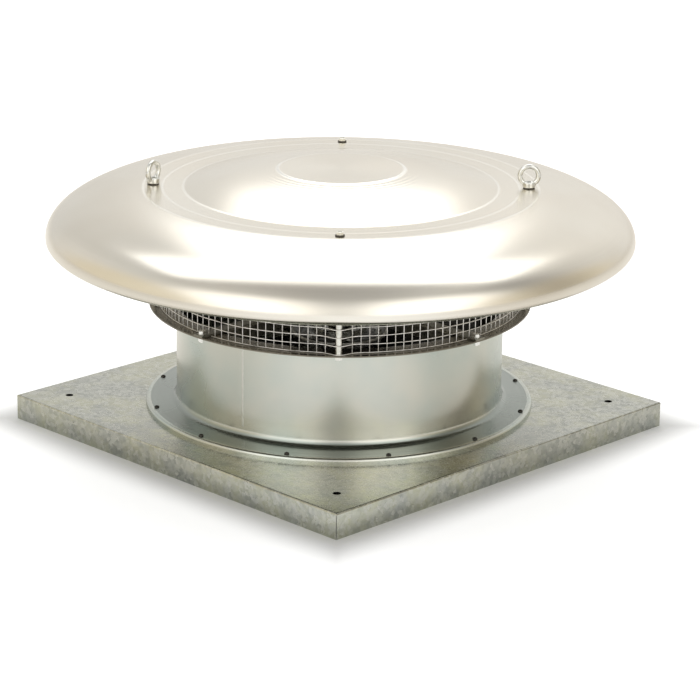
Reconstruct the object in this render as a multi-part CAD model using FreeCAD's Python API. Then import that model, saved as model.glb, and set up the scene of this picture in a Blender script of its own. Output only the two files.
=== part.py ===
import FreeCAD, Part
import math
import os
from FreeCAD import Vector

# Roof exhaust fan, low axial type. Millimetres, Z up along the fan axis.
# The origin is on the axis, at the lower edge of the base lips.

# Base plate
base_side = 710.0
lip_height = 39.0
base_sheet = 2.0
base_bend_radius = 3.0
corner_slit_length = 12.0
corner_slit_width = 0.8
corner_hole_diameter = 12.0
corner_hole_pitch = 594.0
inlet_diameter = 524.0
curb_seal_width = 25.0
curb_seal_thickness = 5.0
curb_seal_edge_gap = 12.0

# Fan drum
drum_diameter = 504.0
drum_wall = 2.0
drum_height = 163.0
flare_diameter = 600.0
flare_land_height = 7.5
flare_land_width = 17.0
flare_rise = 7.0
flare_root_radius = 12.0
flare_land_radius = 6.0
flare_rim_radius = 4.5
top_flange_diameter = 588.0
top_flange_radius = 4.0
seam_angle = -79.3
seam_width = 5.0
seam_height = 0.5
drain_hole_diameter = 4.0
drain_hole_height = 24.0

# Rivets and seal between drum and base
rivet_circle = 577.0
rivet_count = 12
rivet_shank_diameter = 4.0
rivet_head_diameter = 7.5
rivet_head_height = 2.6
rivet_tail_height = 1.8
rivet_tail_diameter = 6.5
drum_seal_width = 18.0
drum_seal_squeeze = 0.2

# Fixings on the top flange
fixing_circle = 572.0
post_angles = (45.0, 135.0, 225.0, 315.0)
arm_angles = (0.0, 90.0, 180.0, 270.0)
post_diameter = 10.0
post_thread_depth = 15.0
stud_diameter = 6.0
stud_length = 9.0
small_thread = 6.0
small_across_flats = 10.0
small_head_height = 4.0
small_nut_height = 5.0
small_washer_diameter = 12.0
small_washer_thickness = 1.2
bolt_tail = 1.5
eye_washer_diameter = 18.0
nut_washer_diameter = 14.0
seal_washer_thickness = 1.5

# Eye nuts
eye_angles = (45.0, 225.0)
eye_turns = (0.0, 60.0)
eye_ring_diameter = 28.0
eye_bar_diameter = 8.0
eye_base_diameter = 20.0
eye_base_height = 8.0
eye_base_ease = 1.0

# Cowl
cowl_diameter = 900.0
cowl_wall = 1.5
cowl_top_height = 369.5
cowl_disc_diameter = 190.0
cowl_step = 1.5
cowl_step_width = 4.0
cowl_band_height = 341.5
cowl_band_inner_diameter = 480.0
cowl_band_outer_diameter = 602.0
cowl_widest_height = 267.0
cowl_shoulder_fall = 0.2
cowl_dome_steps = 10
cowl_inner_dome_sag = 3.5
cowl_rim_drop = 15.5
cowl_rim_reach = 32.0

# Bird guard
mesh_pitch = 12.7
mesh_rows = 13
mesh_wire_diameter = 1.4
mesh_diameter = 558.0
mesh_wrap_distance = 42.0
mesh_bend_radius = 25.0
mesh_weld_gap = 0.05

# Motor support
arm_width = 25.0
arm_sheet = 3.0
arm_depth = 22.0
arm_inner_radius = 48.0
arm_bore_gap = 5.0
mount_disc_diameter = 212.0
mount_disc_thickness = 4.0
mount_bolt_radii = (78.0, 94.0)
mount_spigot_diameter = 84.0

# Motor
motor_flange_diameter = 140.0
motor_flange_thickness = 10.0
motor_screw_circle = 115.0
motor_screw_diameter = 8.0
motor_screw_across_flats = 13.0
motor_screw_head_height = 5.3
tie_rod_circle = 138.6
tie_rod_diameter = 5.0
tie_rod_across_flats = 8.0
tie_rod_head_height = 3.5
tie_rod_ear_diameter = 11.0
tie_rod_ear_height = 6.0
tie_rod_hole_floor = 2.0
tie_rod_angles = (15.0, 105.0, 195.0, 285.0)
housing_diameter = 132.0
housing_wall = 4.0
housing_length = 131.0
fin_count = 24
fin_height = 8.0
fin_thickness = 2.2
fin_end_gap = 5.0
fin_free_angle = 36.0
shield_drop = 2.0
shield_web = 8.0
shield_crown_wall = 5.0
shield_crown_radius = 6.0
register_depth = 5.0
register_wall = 6.0
bearing_floor = 4.5
bearing_boss_wall = 5.5
bearing_boss_rim = 1.0
bearing_shoulder = 5.0
bearing_lift = 2.0
shaft_hole_gap = 1.5
shaft_hole_web = 3.0
stator_bore = 77.0
stator_length = 75.0
slot_count = 24
slot_width = 5.0
slot_depth = 14.0
slot_mouth = 2.0
slot_tooth_tip = 1.5
winding_head_height = 16.0
winding_head_width = 15.0
winding_head_radius = 4.0
winding_core_radius = 2.0
air_gap = 0.5
cage_ring_height = 9.0
cage_ring_width = 10.0
cage_ring_inset = 2.0
shaft_core_diameter = 26.0
shaft_diameter = 19.0
shaft_extension_length = 63.0
key_width = 6.0
key_height = 6.0
key_length = 32.0
key_end_gap = 6.0
shaft_end_ease = 1.0
shaft_thread_depth = 18.0

# Deep groove ball bearings, both ends alike
bearing_bore = 20.0
bearing_outer_diameter = 47.0
bearing_width = 14.0
ball_diameter = 7.9
ball_circle = 33.5
ball_count = 8
race_gap = 0.1
ring_shoulder_height = 2.0
ring_ease = 0.6
cage_thickness = 1.6
cage_width = 10.0
spring_height = 2.5
spring_sheet = 0.6
spring_inset = 0.5

# Terminal box
terminal_angle = 150.0
box_width = 70.0
box_height = 60.0
box_depth = 34.0
box_wall = 3.0
box_centre_height = 282.0
lid_thickness = 5.0
lid_seal_thickness = 2.0
gland_thread = 20.0
gland_across_flats = 24.0
gland_nut_height = 12.0
gland_hex_height = 6.0
gland_thread_length = 6.0
gland_inner_thread_length = 5.0
gland_distance = 92.0
gland_nut_lip = 2.0
gland_hole_diameter = 12.0
gland_collar_diameter = 14.0
cable_diameter = 9.0
lid_screw_diameter = 4.0
lid_screw_head_diameter = 7.0
lid_screw_head_height = 2.6
lid_screw_inset = 5.5
lid_screw_length = 12.0
lid_screw_slot = (1.0, 0.8)
box_seal_inset = 0.5
box_fixing_length = 6.0
wire_hole_diameter = 14.0
box_fixing_places = (-20.0, 20.0)
terminal_block_width = 40.0
terminal_block_height = 16.0
terminal_block_depth = 9.0
terminal_block_lift = 9.0
terminal_pitch = 12.0
terminal_rows = (0.25, 0.75)
terminal_stud_length = 7.0
terminal_nut_height = 3.0

# Impeller
tip_gap = 3.0
impeller_height = 91.0
hub_diameter = 150.0
hub_height = 48.0
hub_bore_gap = 0.2
blade_count = 6
spigot_diameter = 22.0
spigot_inner_radius = 40.0
collar_diameter = 34.0
collar_height = 6.0
blade_thickness = 5.0
blade_camber = 0.09
blade_root_chord = 66.0
blade_mid_chord = 98.0
blade_tip_chord = 92.0
blade_root_pitch = 48.0
blade_mid_pitch = 33.0
blade_tip_pitch = 23.0
boss_diameter = 36.0
boss_flange_diameter = 84.0
boss_flange_thickness = 6.0
boss_length = 50.0
boss_overhang = 4.0
boss_edge_radius = 1.5
boss_root_radius = 2.0
boss_screw_circle = 60.0
boss_screw_depth = 14.0
hub_edge_radius = 5.0
blade_root_gap = 0.5
clamp_bolt_circle = 122.0
retainer_thickness = 5.0
retainer_diameter = 34.0
vee_seal_height = 6.0
vee_seal_width = 7.0
vee_seal_lip = 1.0
vee_seal_body = 5.0
vee_seal_groove = 2.0

# Clearances
fit_gap = 0.02
running_gap = 0.3
hole_gap = 0.5
pocket_gap = 0.1
thread_end_gap = 2.0
overlap = 1.0
past = 1.0

# Heights and radii that several pieces share
AXIS = Vector(0, 0, 1)
ORIGIN = Vector(0, 0, 0)
base_top = lip_height
base_underside = lip_height - base_sheet
drum_radius = drum_diameter / 2
drum_bore_radius = drum_radius - drum_wall
flange_top = base_top + drum_height
flange_underside = flange_top - drum_wall
land_top = base_top + flare_land_height
land_underside = land_top - drum_wall
fixing_radius = fixing_circle / 2
band_top = base_top + cowl_band_height
band_underside = band_top - cowl_wall
arm_top = flange_top + arm_sheet
disc_top = arm_top + mount_disc_thickness
housing_radius = housing_diameter / 2
housing_bore_radius = housing_radius - housing_wall
housing_bottom = disc_top + motor_flange_thickness
housing_top = housing_bottom + housing_length
bearing_seat_radius = bearing_outer_diameter / 2 + fit_gap
shield_bottom = arm_top - shield_drop
lower_bearing_bottom = shield_bottom + bearing_floor
lower_bearing_top = lower_bearing_bottom + bearing_width
upper_bearing_bottom = housing_top + bearing_lift
upper_bearing_top = upper_bearing_bottom + bearing_width
bearing_boss_radius = bearing_seat_radius + bearing_boss_wall
register_radius = housing_bore_radius - fit_gap
ear_top = housing_top + tie_rod_ear_height
stator_bottom = (housing_bottom + housing_top - stator_length) / 2
stator_top = stator_bottom + stator_length
rotor_radius = stator_bore / 2 - air_gap
impeller_plane = base_top + impeller_height
hub_radius = hub_diameter / 2
hub_bottom = impeller_plane - hub_height / 2
hub_top = impeller_plane + hub_height / 2
shaft_bottom = shield_bottom - shaft_extension_length
boss_bottom = shaft_bottom - boss_overhang
boss_top = boss_bottom + boss_length
box_back = housing_radius + fin_height
box_front = box_back + box_depth
box_bottom = box_centre_height - box_height / 2
lid_back = box_front + lid_seal_thickness
lid_front = lid_back + lid_thickness
gland_hex_bottom = box_bottom - gland_hex_height
gland_nut_top = gland_hex_bottom - pocket_gap
gland_nut_floor = gland_nut_top - gland_nut_height + gland_nut_lip


def at(radius, angle, height):
    """A point from its radius, its angle in degrees and its height."""
    turn = math.radians(angle)
    return Vector(radius * math.cos(turn), radius * math.sin(turn), height)


def turned_about_axis(shape, angle):
    """A copy of a shape, turned about the fan axis."""
    copy = shape.copy()
    copy.rotate(ORIGIN, AXIS, angle)
    return copy


def ring_of(shape, count, first=0.0):
    """Copies of a shape at equal angles about the fan axis."""
    return [turned_about_axis(shape, first + i * 360.0 / count) for i in range(count)]


def at_angles(shape, angles):
    """Copies of a shape at the given angles about the fan axis."""
    return [turned_about_axis(shape, angle) for angle in angles]


def cylinder(diameter, bottom, top, radius=0.0, angle=0.0):
    """An upright cylinder whose own axis may stand off the fan axis."""
    return Part.makeCylinder(diameter / 2, top - bottom, at(radius, angle, bottom))


def tube(outer_diameter, inner_diameter, bottom, top, radius=0.0, angle=0.0):
    """An upright tube."""
    outer = cylinder(outer_diameter, bottom, top, radius, angle)
    return outer.cut(cylinder(inner_diameter, bottom, top, radius, angle))


def side_rod(diameter, start, end, y, z):
    """A level cylinder between two distances from the fan axis."""
    return Part.makeCylinder(diameter / 2, end - start, Vector(start, y, z), Vector(1, 0, 0))


def rounded_wire(points, closed):
    """Straight runs through (radius, height) points, with an arc at a point
    that also gives a corner radius."""
    corners = [Vector(p[0], 0, p[1]) for p in points]
    count = len(points)
    starts, ends, arcs = list(corners), list(corners), [None] * count
    for i, point in enumerate(points):
        if len(point) < 3:
            continue
        to_last = (corners[i - 1] - corners[i]).normalize()
        to_next = (corners[(i + 1) % count] - corners[i]).normalize()
        half = to_last.getAngle(to_next) / 2
        reach = point[2] / math.tan(half)
        starts[i] = corners[i] + to_last * reach
        ends[i] = corners[i] + to_next * reach
        inward = (to_last + to_next).normalize()
        middle = corners[i] + inward * (point[2] / math.sin(half) - point[2])
        arcs[i] = Part.Arc(starts[i], middle, ends[i]).toShape()
    edges = []
    for i in range(count):
        if arcs[i]:
            edges.append(arcs[i])
        if i + 1 < count or closed:
            edges.append(Part.makeLine(ends[i], starts[(i + 1) % count]))
    return Part.Wire(edges)


def turned(points):
    """A solid of revolution from a closed outline."""
    return Part.Face(rounded_wire(points, True)).revolve(ORIGIN, AXIS, 360)


def spun(skin, wall):
    """Spun sheet: an open outline given a wall, turned about the axis."""
    return skin.makeOffset2D(-wall, 0, True, True).revolve(ORIGIN, AXIS, 360)


def hexagon(across_flats, bottom, top, radius=0.0, angle=0.0):
    """An upright hexagonal prism with its top and bottom corners eased."""
    corner = across_flats / math.sqrt(3)
    points = [at(corner, 60.0 * i, bottom) for i in range(7)]
    prism = Part.Face(Part.makePolygon(points)).extrude(Vector(0, 0, top - bottom))
    ease = (corner - across_flats / 2) / 2
    blank = Part.makeCylinder(corner, top - bottom, Vector(0, 0, bottom))
    blank = blank.makeChamfer(ease, [e for e in blank.Edges if e.Closed])
    prism = prism.common(blank)
    prism.translate(at(radius, 0, 0))
    return turned_about_axis(prism, angle)


def washer(outer_diameter, thread, bottom, thickness, radius, angle=0.0):
    """A flat washer."""
    return tube(outer_diameter, thread + hole_gap, bottom, bottom + thickness, radius, angle)


def save(name, *solids):
    """Write one node, as one solid or as a group of like solids."""
    shape = solids[0] if len(solids) == 1 else Part.makeCompound(list(solids))
    shape.exportStep("parts/" + name + ".step")


def make_base_plate():
    """Square galvanised cap: top sheet with four turned-down lips."""
    half = base_side / 2
    inside = half - base_sheet
    blank = Part.makeBox(base_side, base_side, lip_height, Vector(-half, -half, 0))
    blank = blank.makeFillet(base_bend_radius, [
        e for e in blank.Edges if all(abs(v.Z - lip_height) < 0.01 for v in e.Vertexes)])
    hollow = Part.makeBox(2 * inside, 2 * inside, base_underside, Vector(-inside, -inside, 0))
    hollow = hollow.makeFillet(base_bend_radius - base_sheet, [
        e for e in hollow.Edges if all(abs(v.Z - base_underside) < 0.01 for v in e.Vertexes)])
    plate = blank.cut(hollow).cut(cylinder(inlet_diameter, 0, lip_height + past))
    corner_radius = corner_hole_pitch / math.sqrt(2)
    rivet_hole = cylinder(rivet_shank_diameter + 2 * pocket_gap, 0, lip_height + past, rivet_circle / 2)
    holes = ring_of(cylinder(corner_hole_diameter, 0, lip_height + past, corner_radius), 4, 45.0)
    slit_start = half * math.sqrt(2) - corner_slit_length + past
    slit = Part.makeBox(corner_slit_length, corner_slit_width, lip_height - base_bend_radius + past,
                        Vector(slit_start, -corner_slit_width / 2, -past))
    return plate.cut(holes + ring_of(rivet_hole, rivet_count) + ring_of(slit, 4, 45.0))


def make_curb_seal():
    """Foam strip stuck under the plate, which meets the roof curb."""
    outer = base_side - 2 * base_sheet - 2 * curb_seal_edge_gap
    inner = outer - 2 * curb_seal_width
    bottom = base_underside - curb_seal_thickness
    block = Part.makeBox(outer, outer, curb_seal_thickness, Vector(-outer / 2, -outer / 2, bottom))
    hole = Part.makeBox(inner, inner, curb_seal_thickness, Vector(-inner / 2, -inner / 2, bottom))
    return block.cut(hole)


def make_drum():
    """Rolled and seam-welded drum with a spun flare below and a flange above."""
    flare_radius = flare_diameter / 2
    land_inner = flare_radius - flare_land_width
    skin = rounded_wire([
        (top_flange_diameter / 2, flange_underside),
        (drum_radius, flange_underside, top_flange_radius),
        (drum_radius, land_top + flare_rise, flare_root_radius),
        (land_inner, land_top, flare_land_radius),
        (flare_radius, land_top, flare_rim_radius),
        (flare_radius, base_top)], False)
    drum = spun(skin, drum_wall)
    seam_bottom = land_top + flare_rise + flare_root_radius
    seam_length = flange_underside - top_flange_radius - seam_bottom
    seam = Part.makeBox(drum_wall / 2 + seam_height, seam_width, seam_length,
                        Vector(drum_radius - drum_wall / 2, -seam_width / 2, seam_bottom))
    seam = seam.cut(cylinder(drum_diameter - drum_wall, 0, flange_top))
    drum = drum.fuse(turned_about_axis(seam, seam_angle))
    fixing_hole = cylinder(small_thread + 2 * hole_gap, flange_underside - past, flange_top + past,
                           fixing_radius)
    rivet_hole = cylinder(rivet_shank_diameter + 2 * pocket_gap, base_top, land_top + past,
                          rivet_circle / 2)
    drain_hole = side_rod(drain_hole_diameter, drum_bore_radius - past, drum_radius + past, 0,
                          base_top + drain_hole_height)
    return drum.cut(ring_of(fixing_hole, 8) + ring_of(rivet_hole, rivet_count)
                    + at_angles(drain_hole, eye_angles))


def make_drum_seal():
    """Butyl ring squeezed between the flare and the base plate."""
    outer = flare_diameter - 4 * drum_wall
    seal = tube(outer, outer - 2 * drum_seal_width, base_top, land_underside - drum_seal_squeeze)
    hole = cylinder(rivet_shank_diameter + 2 * pocket_gap, base_top - past, land_top, rivet_circle / 2)
    return seal.cut(ring_of(hole, rivet_count))


def make_rivet():
    """Blind rivet through flare, seal and plate."""
    radius = rivet_circle / 2
    head = Part.makeSphere(rivet_head_diameter / 2, at(radius, 0, 0))
    squash = FreeCAD.Matrix()
    squash.scale(1, 1, 2 * rivet_head_height / rivet_head_diameter)
    head = head.transformGeometry(squash)
    head.translate(Vector(0, 0, land_top))
    head = head.common(cylinder(2 * rivet_head_diameter, land_top, land_top + rivet_head_height, radius))
    shank = cylinder(rivet_shank_diameter, base_underside, land_top, radius)
    tail = cylinder(rivet_tail_diameter, base_underside - rivet_tail_height, base_underside, radius)
    return head.fuse([shank, tail]).removeSplitter()


def make_post():
    """Turned steel post that carries the cowl: tapped foot, threaded top."""
    body = cylinder(post_diameter, flange_top, band_underside, fixing_radius)
    stud = cylinder(stud_diameter, band_underside, band_top + stud_length - cowl_wall, fixing_radius)
    bore = cylinder(small_thread + 2 * fit_gap, flange_top, flange_top + post_thread_depth, fixing_radius)
    return body.fuse(stud).cut(bore)


def make_post_screw():
    """Hex screw from below the flange into a post."""
    head_top = flange_underside - small_washer_thickness
    head = hexagon(small_across_flats, head_top - small_head_height, head_top, fixing_radius)
    shank = cylinder(small_thread, head_top, flange_top + post_thread_depth - thread_end_gap, fixing_radius)
    return head.fuse(shank)


def make_seal_washer(diameter):
    """Rubber-faced washer on top of the cowl."""
    return washer(diameter, stud_diameter, band_top, seal_washer_thickness, fixing_radius)


def make_cowl_nut():
    """Hex nut that holds the cowl down at the front and rear posts."""
    bottom = band_top + seal_washer_thickness
    top = bottom + small_nut_height
    nut = hexagon(small_across_flats, bottom, top, fixing_radius)
    return nut.cut(cylinder(stud_diameter + 2 * fit_gap, bottom, top, fixing_radius))


def make_eye_nut(angle, turn):
    """Forged eye nut that holds the cowl down and lifts the fan."""
    bottom = band_top + seal_washer_thickness
    ring_radius = eye_ring_diameter / 2
    centre = bottom + ring_radius + eye_bar_diameter / 2
    ring = Part.makeTorus(ring_radius, eye_bar_diameter / 2, Vector(0, 0, centre), Vector(0, 1, 0))
    base = cylinder(eye_base_diameter, bottom, bottom + eye_base_height)
    base = base.makeChamfer(eye_base_ease, [e for e in base.Edges if e.Closed])
    eye = base.fuse(ring)
    eye = eye.cut(cylinder(stud_diameter + 2 * fit_gap, bottom, bottom + eye_base_height + overlap))
    eye.rotate(ORIGIN, AXIS, turn)
    eye.translate(at(fixing_radius, 0, 0))
    return turned_about_axis(eye, angle)


def cowl_skin(inset):
    """Edges of the cowl's outside, from the axis to the rim turned under it,
    or of its inside when the wall is given as the inset. The outer dome is a
    quarter of an ellipse that falls a little faster next to the flat band."""
    disc_radius = cowl_disc_diameter / 2
    disc_height = base_top + cowl_top_height - inset
    band_inner = cowl_band_inner_diameter / 2
    band_outer = cowl_band_outer_diameter / 2
    widest = base_top + cowl_widest_height
    widest_radius = cowl_diameter / 2 - inset
    step_foot = Vector(disc_radius + cowl_step_width, 0, disc_height - cowl_step)
    shoulder = Vector(band_inner, 0, band_top - inset)
    chord = shoulder - step_foot
    crown = step_foot + chord * 0.5 + Vector(-chord.z, 0, chord.x).normalize() * cowl_inner_dome_sag
    reach = widest_radius - band_outer
    rise = band_top - inset - widest
    dome = []
    for i in range(cowl_dome_steps + 1):
        turn = math.pi / 2 * i / cowl_dome_steps
        share = math.sin(turn)
        height = math.cos(turn) - cowl_shoulder_fall * share * (1 - share)
        dome.append(Vector(band_outer + reach * share, 0, widest + rise * height))
    outer_dome = Part.BSplineCurve()
    outer_dome.interpolate(Points=dome, InitialTangent=Vector(reach, 0, -rise * cowl_shoulder_fall),
                           FinalTangent=Vector(0, 0, -1))
    rim_reach = cowl_rim_reach - inset
    rim_drop = cowl_rim_drop - inset
    half_turn = math.sqrt(0.5)
    rim_turn = Vector(widest_radius - rim_reach * (1 - half_turn), 0, widest - rim_drop * half_turn)
    rim_end = Vector(widest_radius - rim_reach, 0, widest - rim_drop)
    rim = Part.BSplineCurve()
    rim.interpolate(Points=[dome[-1], rim_turn, rim_end],
                    InitialTangent=Vector(0, 0, -1), FinalTangent=Vector(-1, 0, 0))
    return [Part.makeLine(Vector(0, 0, disc_height), Vector(disc_radius, 0, disc_height)),
            Part.makeLine(Vector(disc_radius, 0, disc_height), step_foot),
            Part.Arc(step_foot, crown, shoulder).toShape(),
            Part.makeLine(shoulder, dome[0]),
            outer_dome.toShape(),
            rim.toShape()]


def make_cowl():
    """Spun aluminium weather cowl with four fixing holes."""
    outside = cowl_skin(0.0)
    inside = cowl_skin(cowl_wall)
    rim_edge = Part.makeLine(outside[-1].Vertexes[-1].Point, inside[-1].Vertexes[-1].Point)
    axis_edge = Part.makeLine(inside[0].Vertexes[0].Point, outside[0].Vertexes[0].Point)
    section = Part.Wire(outside + [rim_edge] + inside[::-1] + [axis_edge])
    cowl = Part.Face(section).revolve(ORIGIN, AXIS, 360)
    hole = cylinder(stud_diameter + hole_gap, band_underside - past, band_top + past, fixing_radius)
    return cowl.cut(at_angles(hole, post_angles))


def guard_wire(outwards=0.0):
    """The bird guard seen from above: a circle that bends out near each post,
    runs straight to it and wraps around the outside of it."""
    circle = mesh_diameter / 2 + outwards
    bend = mesh_bend_radius - outwards
    wrap = post_diameter / 2 + mesh_wire_diameter / 2 + running_gap + outwards
    leave = 2 * mesh_wrap_distance / mesh_diameter
    outward = Vector(math.cos(leave), math.sin(leave), 0)
    leave_point = outward * circle
    bend_centre = outward * (circle + bend)
    post = Vector(fixing_radius, 0, 0)
    between = bend_centre - post
    slope = math.atan2(between.y, between.x) - math.acos((wrap + bend) / between.Length)
    normal = Vector(math.cos(slope), math.sin(slope), 0)
    touch = post + normal * wrap
    bend_end = bend_centre - normal * bend
    bend_middle = bend_centre - (normal + outward).normalize() * bend
    half_side = [Part.makeLine(touch, bend_end), Part.Arc(bend_end, bend_middle, leave_point).toShape()]
    other_side = [edge.mirror(ORIGIN, Vector(0, 1, 0)) for edge in half_side[::-1]]
    around = Part.Arc(Vector(touch.x, -touch.y, 0), post + Vector(wrap, 0, 0), touch).toShape()
    far = math.pi / 2 - leave
    sweep = Part.Arc(leave_point, at(circle, 45.0, 0), at(circle, math.degrees(far), 0)).toShape()
    quarter = other_side + [around] + half_side + [sweep]
    return Part.Wire([turned_about_axis(edge, angle) for angle in post_angles for edge in quarter])


def arm_room():
    """Space around the arms' tabs that the bird guard is cut away from."""
    side = arm_width - 2 * arm_sheet + 2 * running_gap
    height = arm_sheet + running_gap
    room = Part.makeBox(top_flange_diameter / 2, side, height, Vector(0, -side / 2, flange_top))
    return at_angles(room, arm_angles)


def make_guard_hoops():
    """The level wires of the bird guard. The lowest one is snipped at the
    arms, so it is four arcs."""
    path = guard_wire()
    path.translate(Vector(0, 0, flange_top + running_gap + mesh_wire_diameter / 2))
    edge = path.Edges[0]
    section = Part.Wire([Part.makeCircle(mesh_wire_diameter / 2, edge.valueAt(edge.FirstParameter),
                                         edge.tangentAt(edge.FirstParameter))])
    hoop = path.makePipeShell([section], True, True)
    upper = [hoop.translated(Vector(0, 0, i * mesh_pitch)) for i in range(1, mesh_rows + 1)]
    return hoop.cut(arm_room()).Solids + upper


def make_guard_uprights():
    """The upright wires of the bird guard, welded on inside the hoops. None
    stands behind a post, and those over an arm are shorter."""
    path = guard_wire(-mesh_wire_diameter - mesh_weld_gap)
    count = 4 * round(path.Length / mesh_pitch / 4)
    bottom = flange_top + running_gap
    height = mesh_rows * mesh_pitch + mesh_wire_diameter
    posts = [at(fixing_radius, angle, 0) for angle in post_angles]
    uprights = []
    for place in path.discretize(Number=count + 1)[:-1]:
        if min(place.distanceToPoint(post) for post in posts) > post_diameter:
            uprights.append(Part.makeCylinder(mesh_wire_diameter / 2, height, place + Vector(0, 0, bottom)))
    return [upright.cut(arm_room()) for upright in uprights]


def make_support_arm():
    """Folded galvanised arm: its tab is bolted on the drum's top flange, and
    inside the drum it has a downturned wall at each side."""
    half = arm_width / 2
    wall_length = drum_bore_radius - arm_bore_gap - arm_inner_radius
    bottom = arm_top - arm_depth
    channel = Part.makeBox(wall_length, arm_width, arm_depth, Vector(arm_inner_radius, -half, bottom))
    channel = channel.makeFillet(arm_sheet, [
        e for e in channel.Edges if e.BoundBox.YLength < 0.01 and e.BoundBox.ZMin > arm_top - 0.01])
    hollow = Part.makeBox(wall_length, arm_width - 2 * arm_sheet, arm_depth - arm_sheet,
                          Vector(arm_inner_radius, arm_sheet - half, bottom))
    tab_start = arm_inner_radius + wall_length - overlap
    tab = Part.makeBox(top_flange_diameter / 2 - tab_start, arm_width - 2 * arm_sheet, arm_sheet,
                       Vector(tab_start, arm_sheet - half, flange_top))
    holes = [cylinder(small_thread + hole_gap, flange_top - past, arm_top + past, radius)
             for radius in (fixing_radius,) + mount_bolt_radii]
    return channel.cut(hollow).fuse(tab).cut(holes)


def bolt_down(radius, seat, underside):
    """Hex bolt whose head stands on a washer on a seat, and whose shank goes
    down through the washer and nut below the clamped pieces."""
    bottom = seat + small_washer_thickness
    tail = underside - small_washer_thickness - small_nut_height - bolt_tail
    bolt = hexagon(small_across_flats, bottom, bottom + small_head_height, radius)
    return bolt.fuse(cylinder(small_thread, tail, bottom, radius))


def nut_below(radius, seat):
    """Hex nut under a washer whose top is the seat."""
    top = seat - small_washer_thickness
    nut = hexagon(small_across_flats, top - small_nut_height, top, radius)
    return nut.cut(cylinder(small_thread + 2 * fit_gap, top - small_nut_height, top, radius))


def make_mount_disc():
    """Galvanised disc on the four arms that carries the motor."""
    disc = cylinder(mount_disc_diameter, arm_top, disc_top)
    cuts = [cylinder(mount_spigot_diameter + hole_gap, arm_top, disc_top)]
    for radius in mount_bolt_radii:
        cuts += ring_of(cylinder(small_thread + hole_gap, arm_top, disc_top, radius), 4)
    motor_hole = cylinder(motor_screw_diameter + hole_gap, arm_top, disc_top, motor_screw_circle / 2)
    cuts += ring_of(motor_hole, 4, 45.0)
    return disc.cut(cuts)


def make_motor_screw():
    """Hex screw from below the mounting disc into the motor flange."""
    radius = motor_screw_circle / 2
    head = hexagon(motor_screw_across_flats, arm_top - motor_screw_head_height, arm_top, radius, 45.0)
    shank = cylinder(motor_screw_diameter, arm_top, housing_bottom - thread_end_gap, radius, 45.0)
    return head.fuse(shank)


def make_drive_end_shield():
    """Cast end shield with the motor's flange and the lower bearing's seat."""
    flange = motor_flange_diameter / 2
    spigot = mount_spigot_diameter / 2
    boss = bearing_boss_radius
    shaft_hole = shaft_diameter / 2 + shaft_hole_gap
    shoulder = bearing_seat_radius - bearing_shoulder
    boss_rim = lower_bearing_top + bearing_boss_rim
    web_top = disc_top + shield_web
    wall = register_radius - register_wall
    shield = turned([
        (shaft_hole, shield_bottom), (boss, shield_bottom, shaft_hole_gap), (boss, arm_top),
        (spigot, arm_top), (spigot, disc_top), (flange, disc_top), (flange, housing_bottom),
        (register_radius, housing_bottom), (register_radius, housing_bottom + register_depth),
        (wall, housing_bottom + register_depth), (wall, web_top), (boss, web_top), (boss, boss_rim),
        (bearing_seat_radius, boss_rim),
        (bearing_seat_radius, lower_bearing_bottom), (shoulder, lower_bearing_bottom),
        (shoulder, shield_bottom + shaft_hole_web), (shaft_hole, shield_bottom + shaft_hole_web)])
    ear = cylinder(tie_rod_ear_diameter, disc_top, housing_bottom, tie_rod_circle / 2)
    tapped = cylinder(motor_screw_diameter + 2 * fit_gap, disc_top - past, housing_bottom - overlap,
                      motor_screw_circle / 2)
    rod_hole = cylinder(tie_rod_diameter + 2 * fit_gap, disc_top + tie_rod_hole_floor, housing_bottom,
                        tie_rod_circle / 2)
    shield = shield.fuse(at_angles(ear, tie_rod_angles))
    return shield.cut(ring_of(tapped, 4, 45.0) + at_angles(rod_hole, tie_rod_angles))


def make_top_end_shield():
    """Cast end shield with the upper bearing's seat, closed on top."""
    boss = bearing_boss_radius
    boss_rim = upper_bearing_bottom - bearing_boss_rim
    seat_top = upper_bearing_top + spring_height
    crown = seat_top + shield_crown_wall
    slope_foot = boss + shield_crown_radius - shield_drop
    wall = register_radius - register_wall
    shield = turned([
        (0, seat_top), (bearing_seat_radius, seat_top), (bearing_seat_radius, boss_rim), (boss, boss_rim),
        (boss, housing_top + 2 * bearing_lift), (wall, housing_top + bearing_lift),
        (wall, housing_top - register_depth), (register_radius, housing_top - register_depth),
        (register_radius, housing_top), (housing_radius, housing_top), (housing_radius, ear_top, overlap),
        (slope_foot, crown - shield_crown_radius, shield_crown_radius),
        (boss - shield_drop, crown, shield_crown_radius / 2), (0, crown)])
    ear = cylinder(tie_rod_ear_diameter, housing_top, ear_top, tie_rod_circle / 2)
    head_room = cylinder(tie_rod_ear_diameter, ear_top, crown, tie_rod_circle / 2)
    rod_hole = cylinder(tie_rod_diameter + hole_gap, housing_top, ear_top, tie_rod_circle / 2)
    cuts = at_angles(head_room, tie_rod_angles) + at_angles(rod_hole, tie_rod_angles)
    return shield.fuse(at_angles(ear, tie_rod_angles)).cut(cuts)


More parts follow.
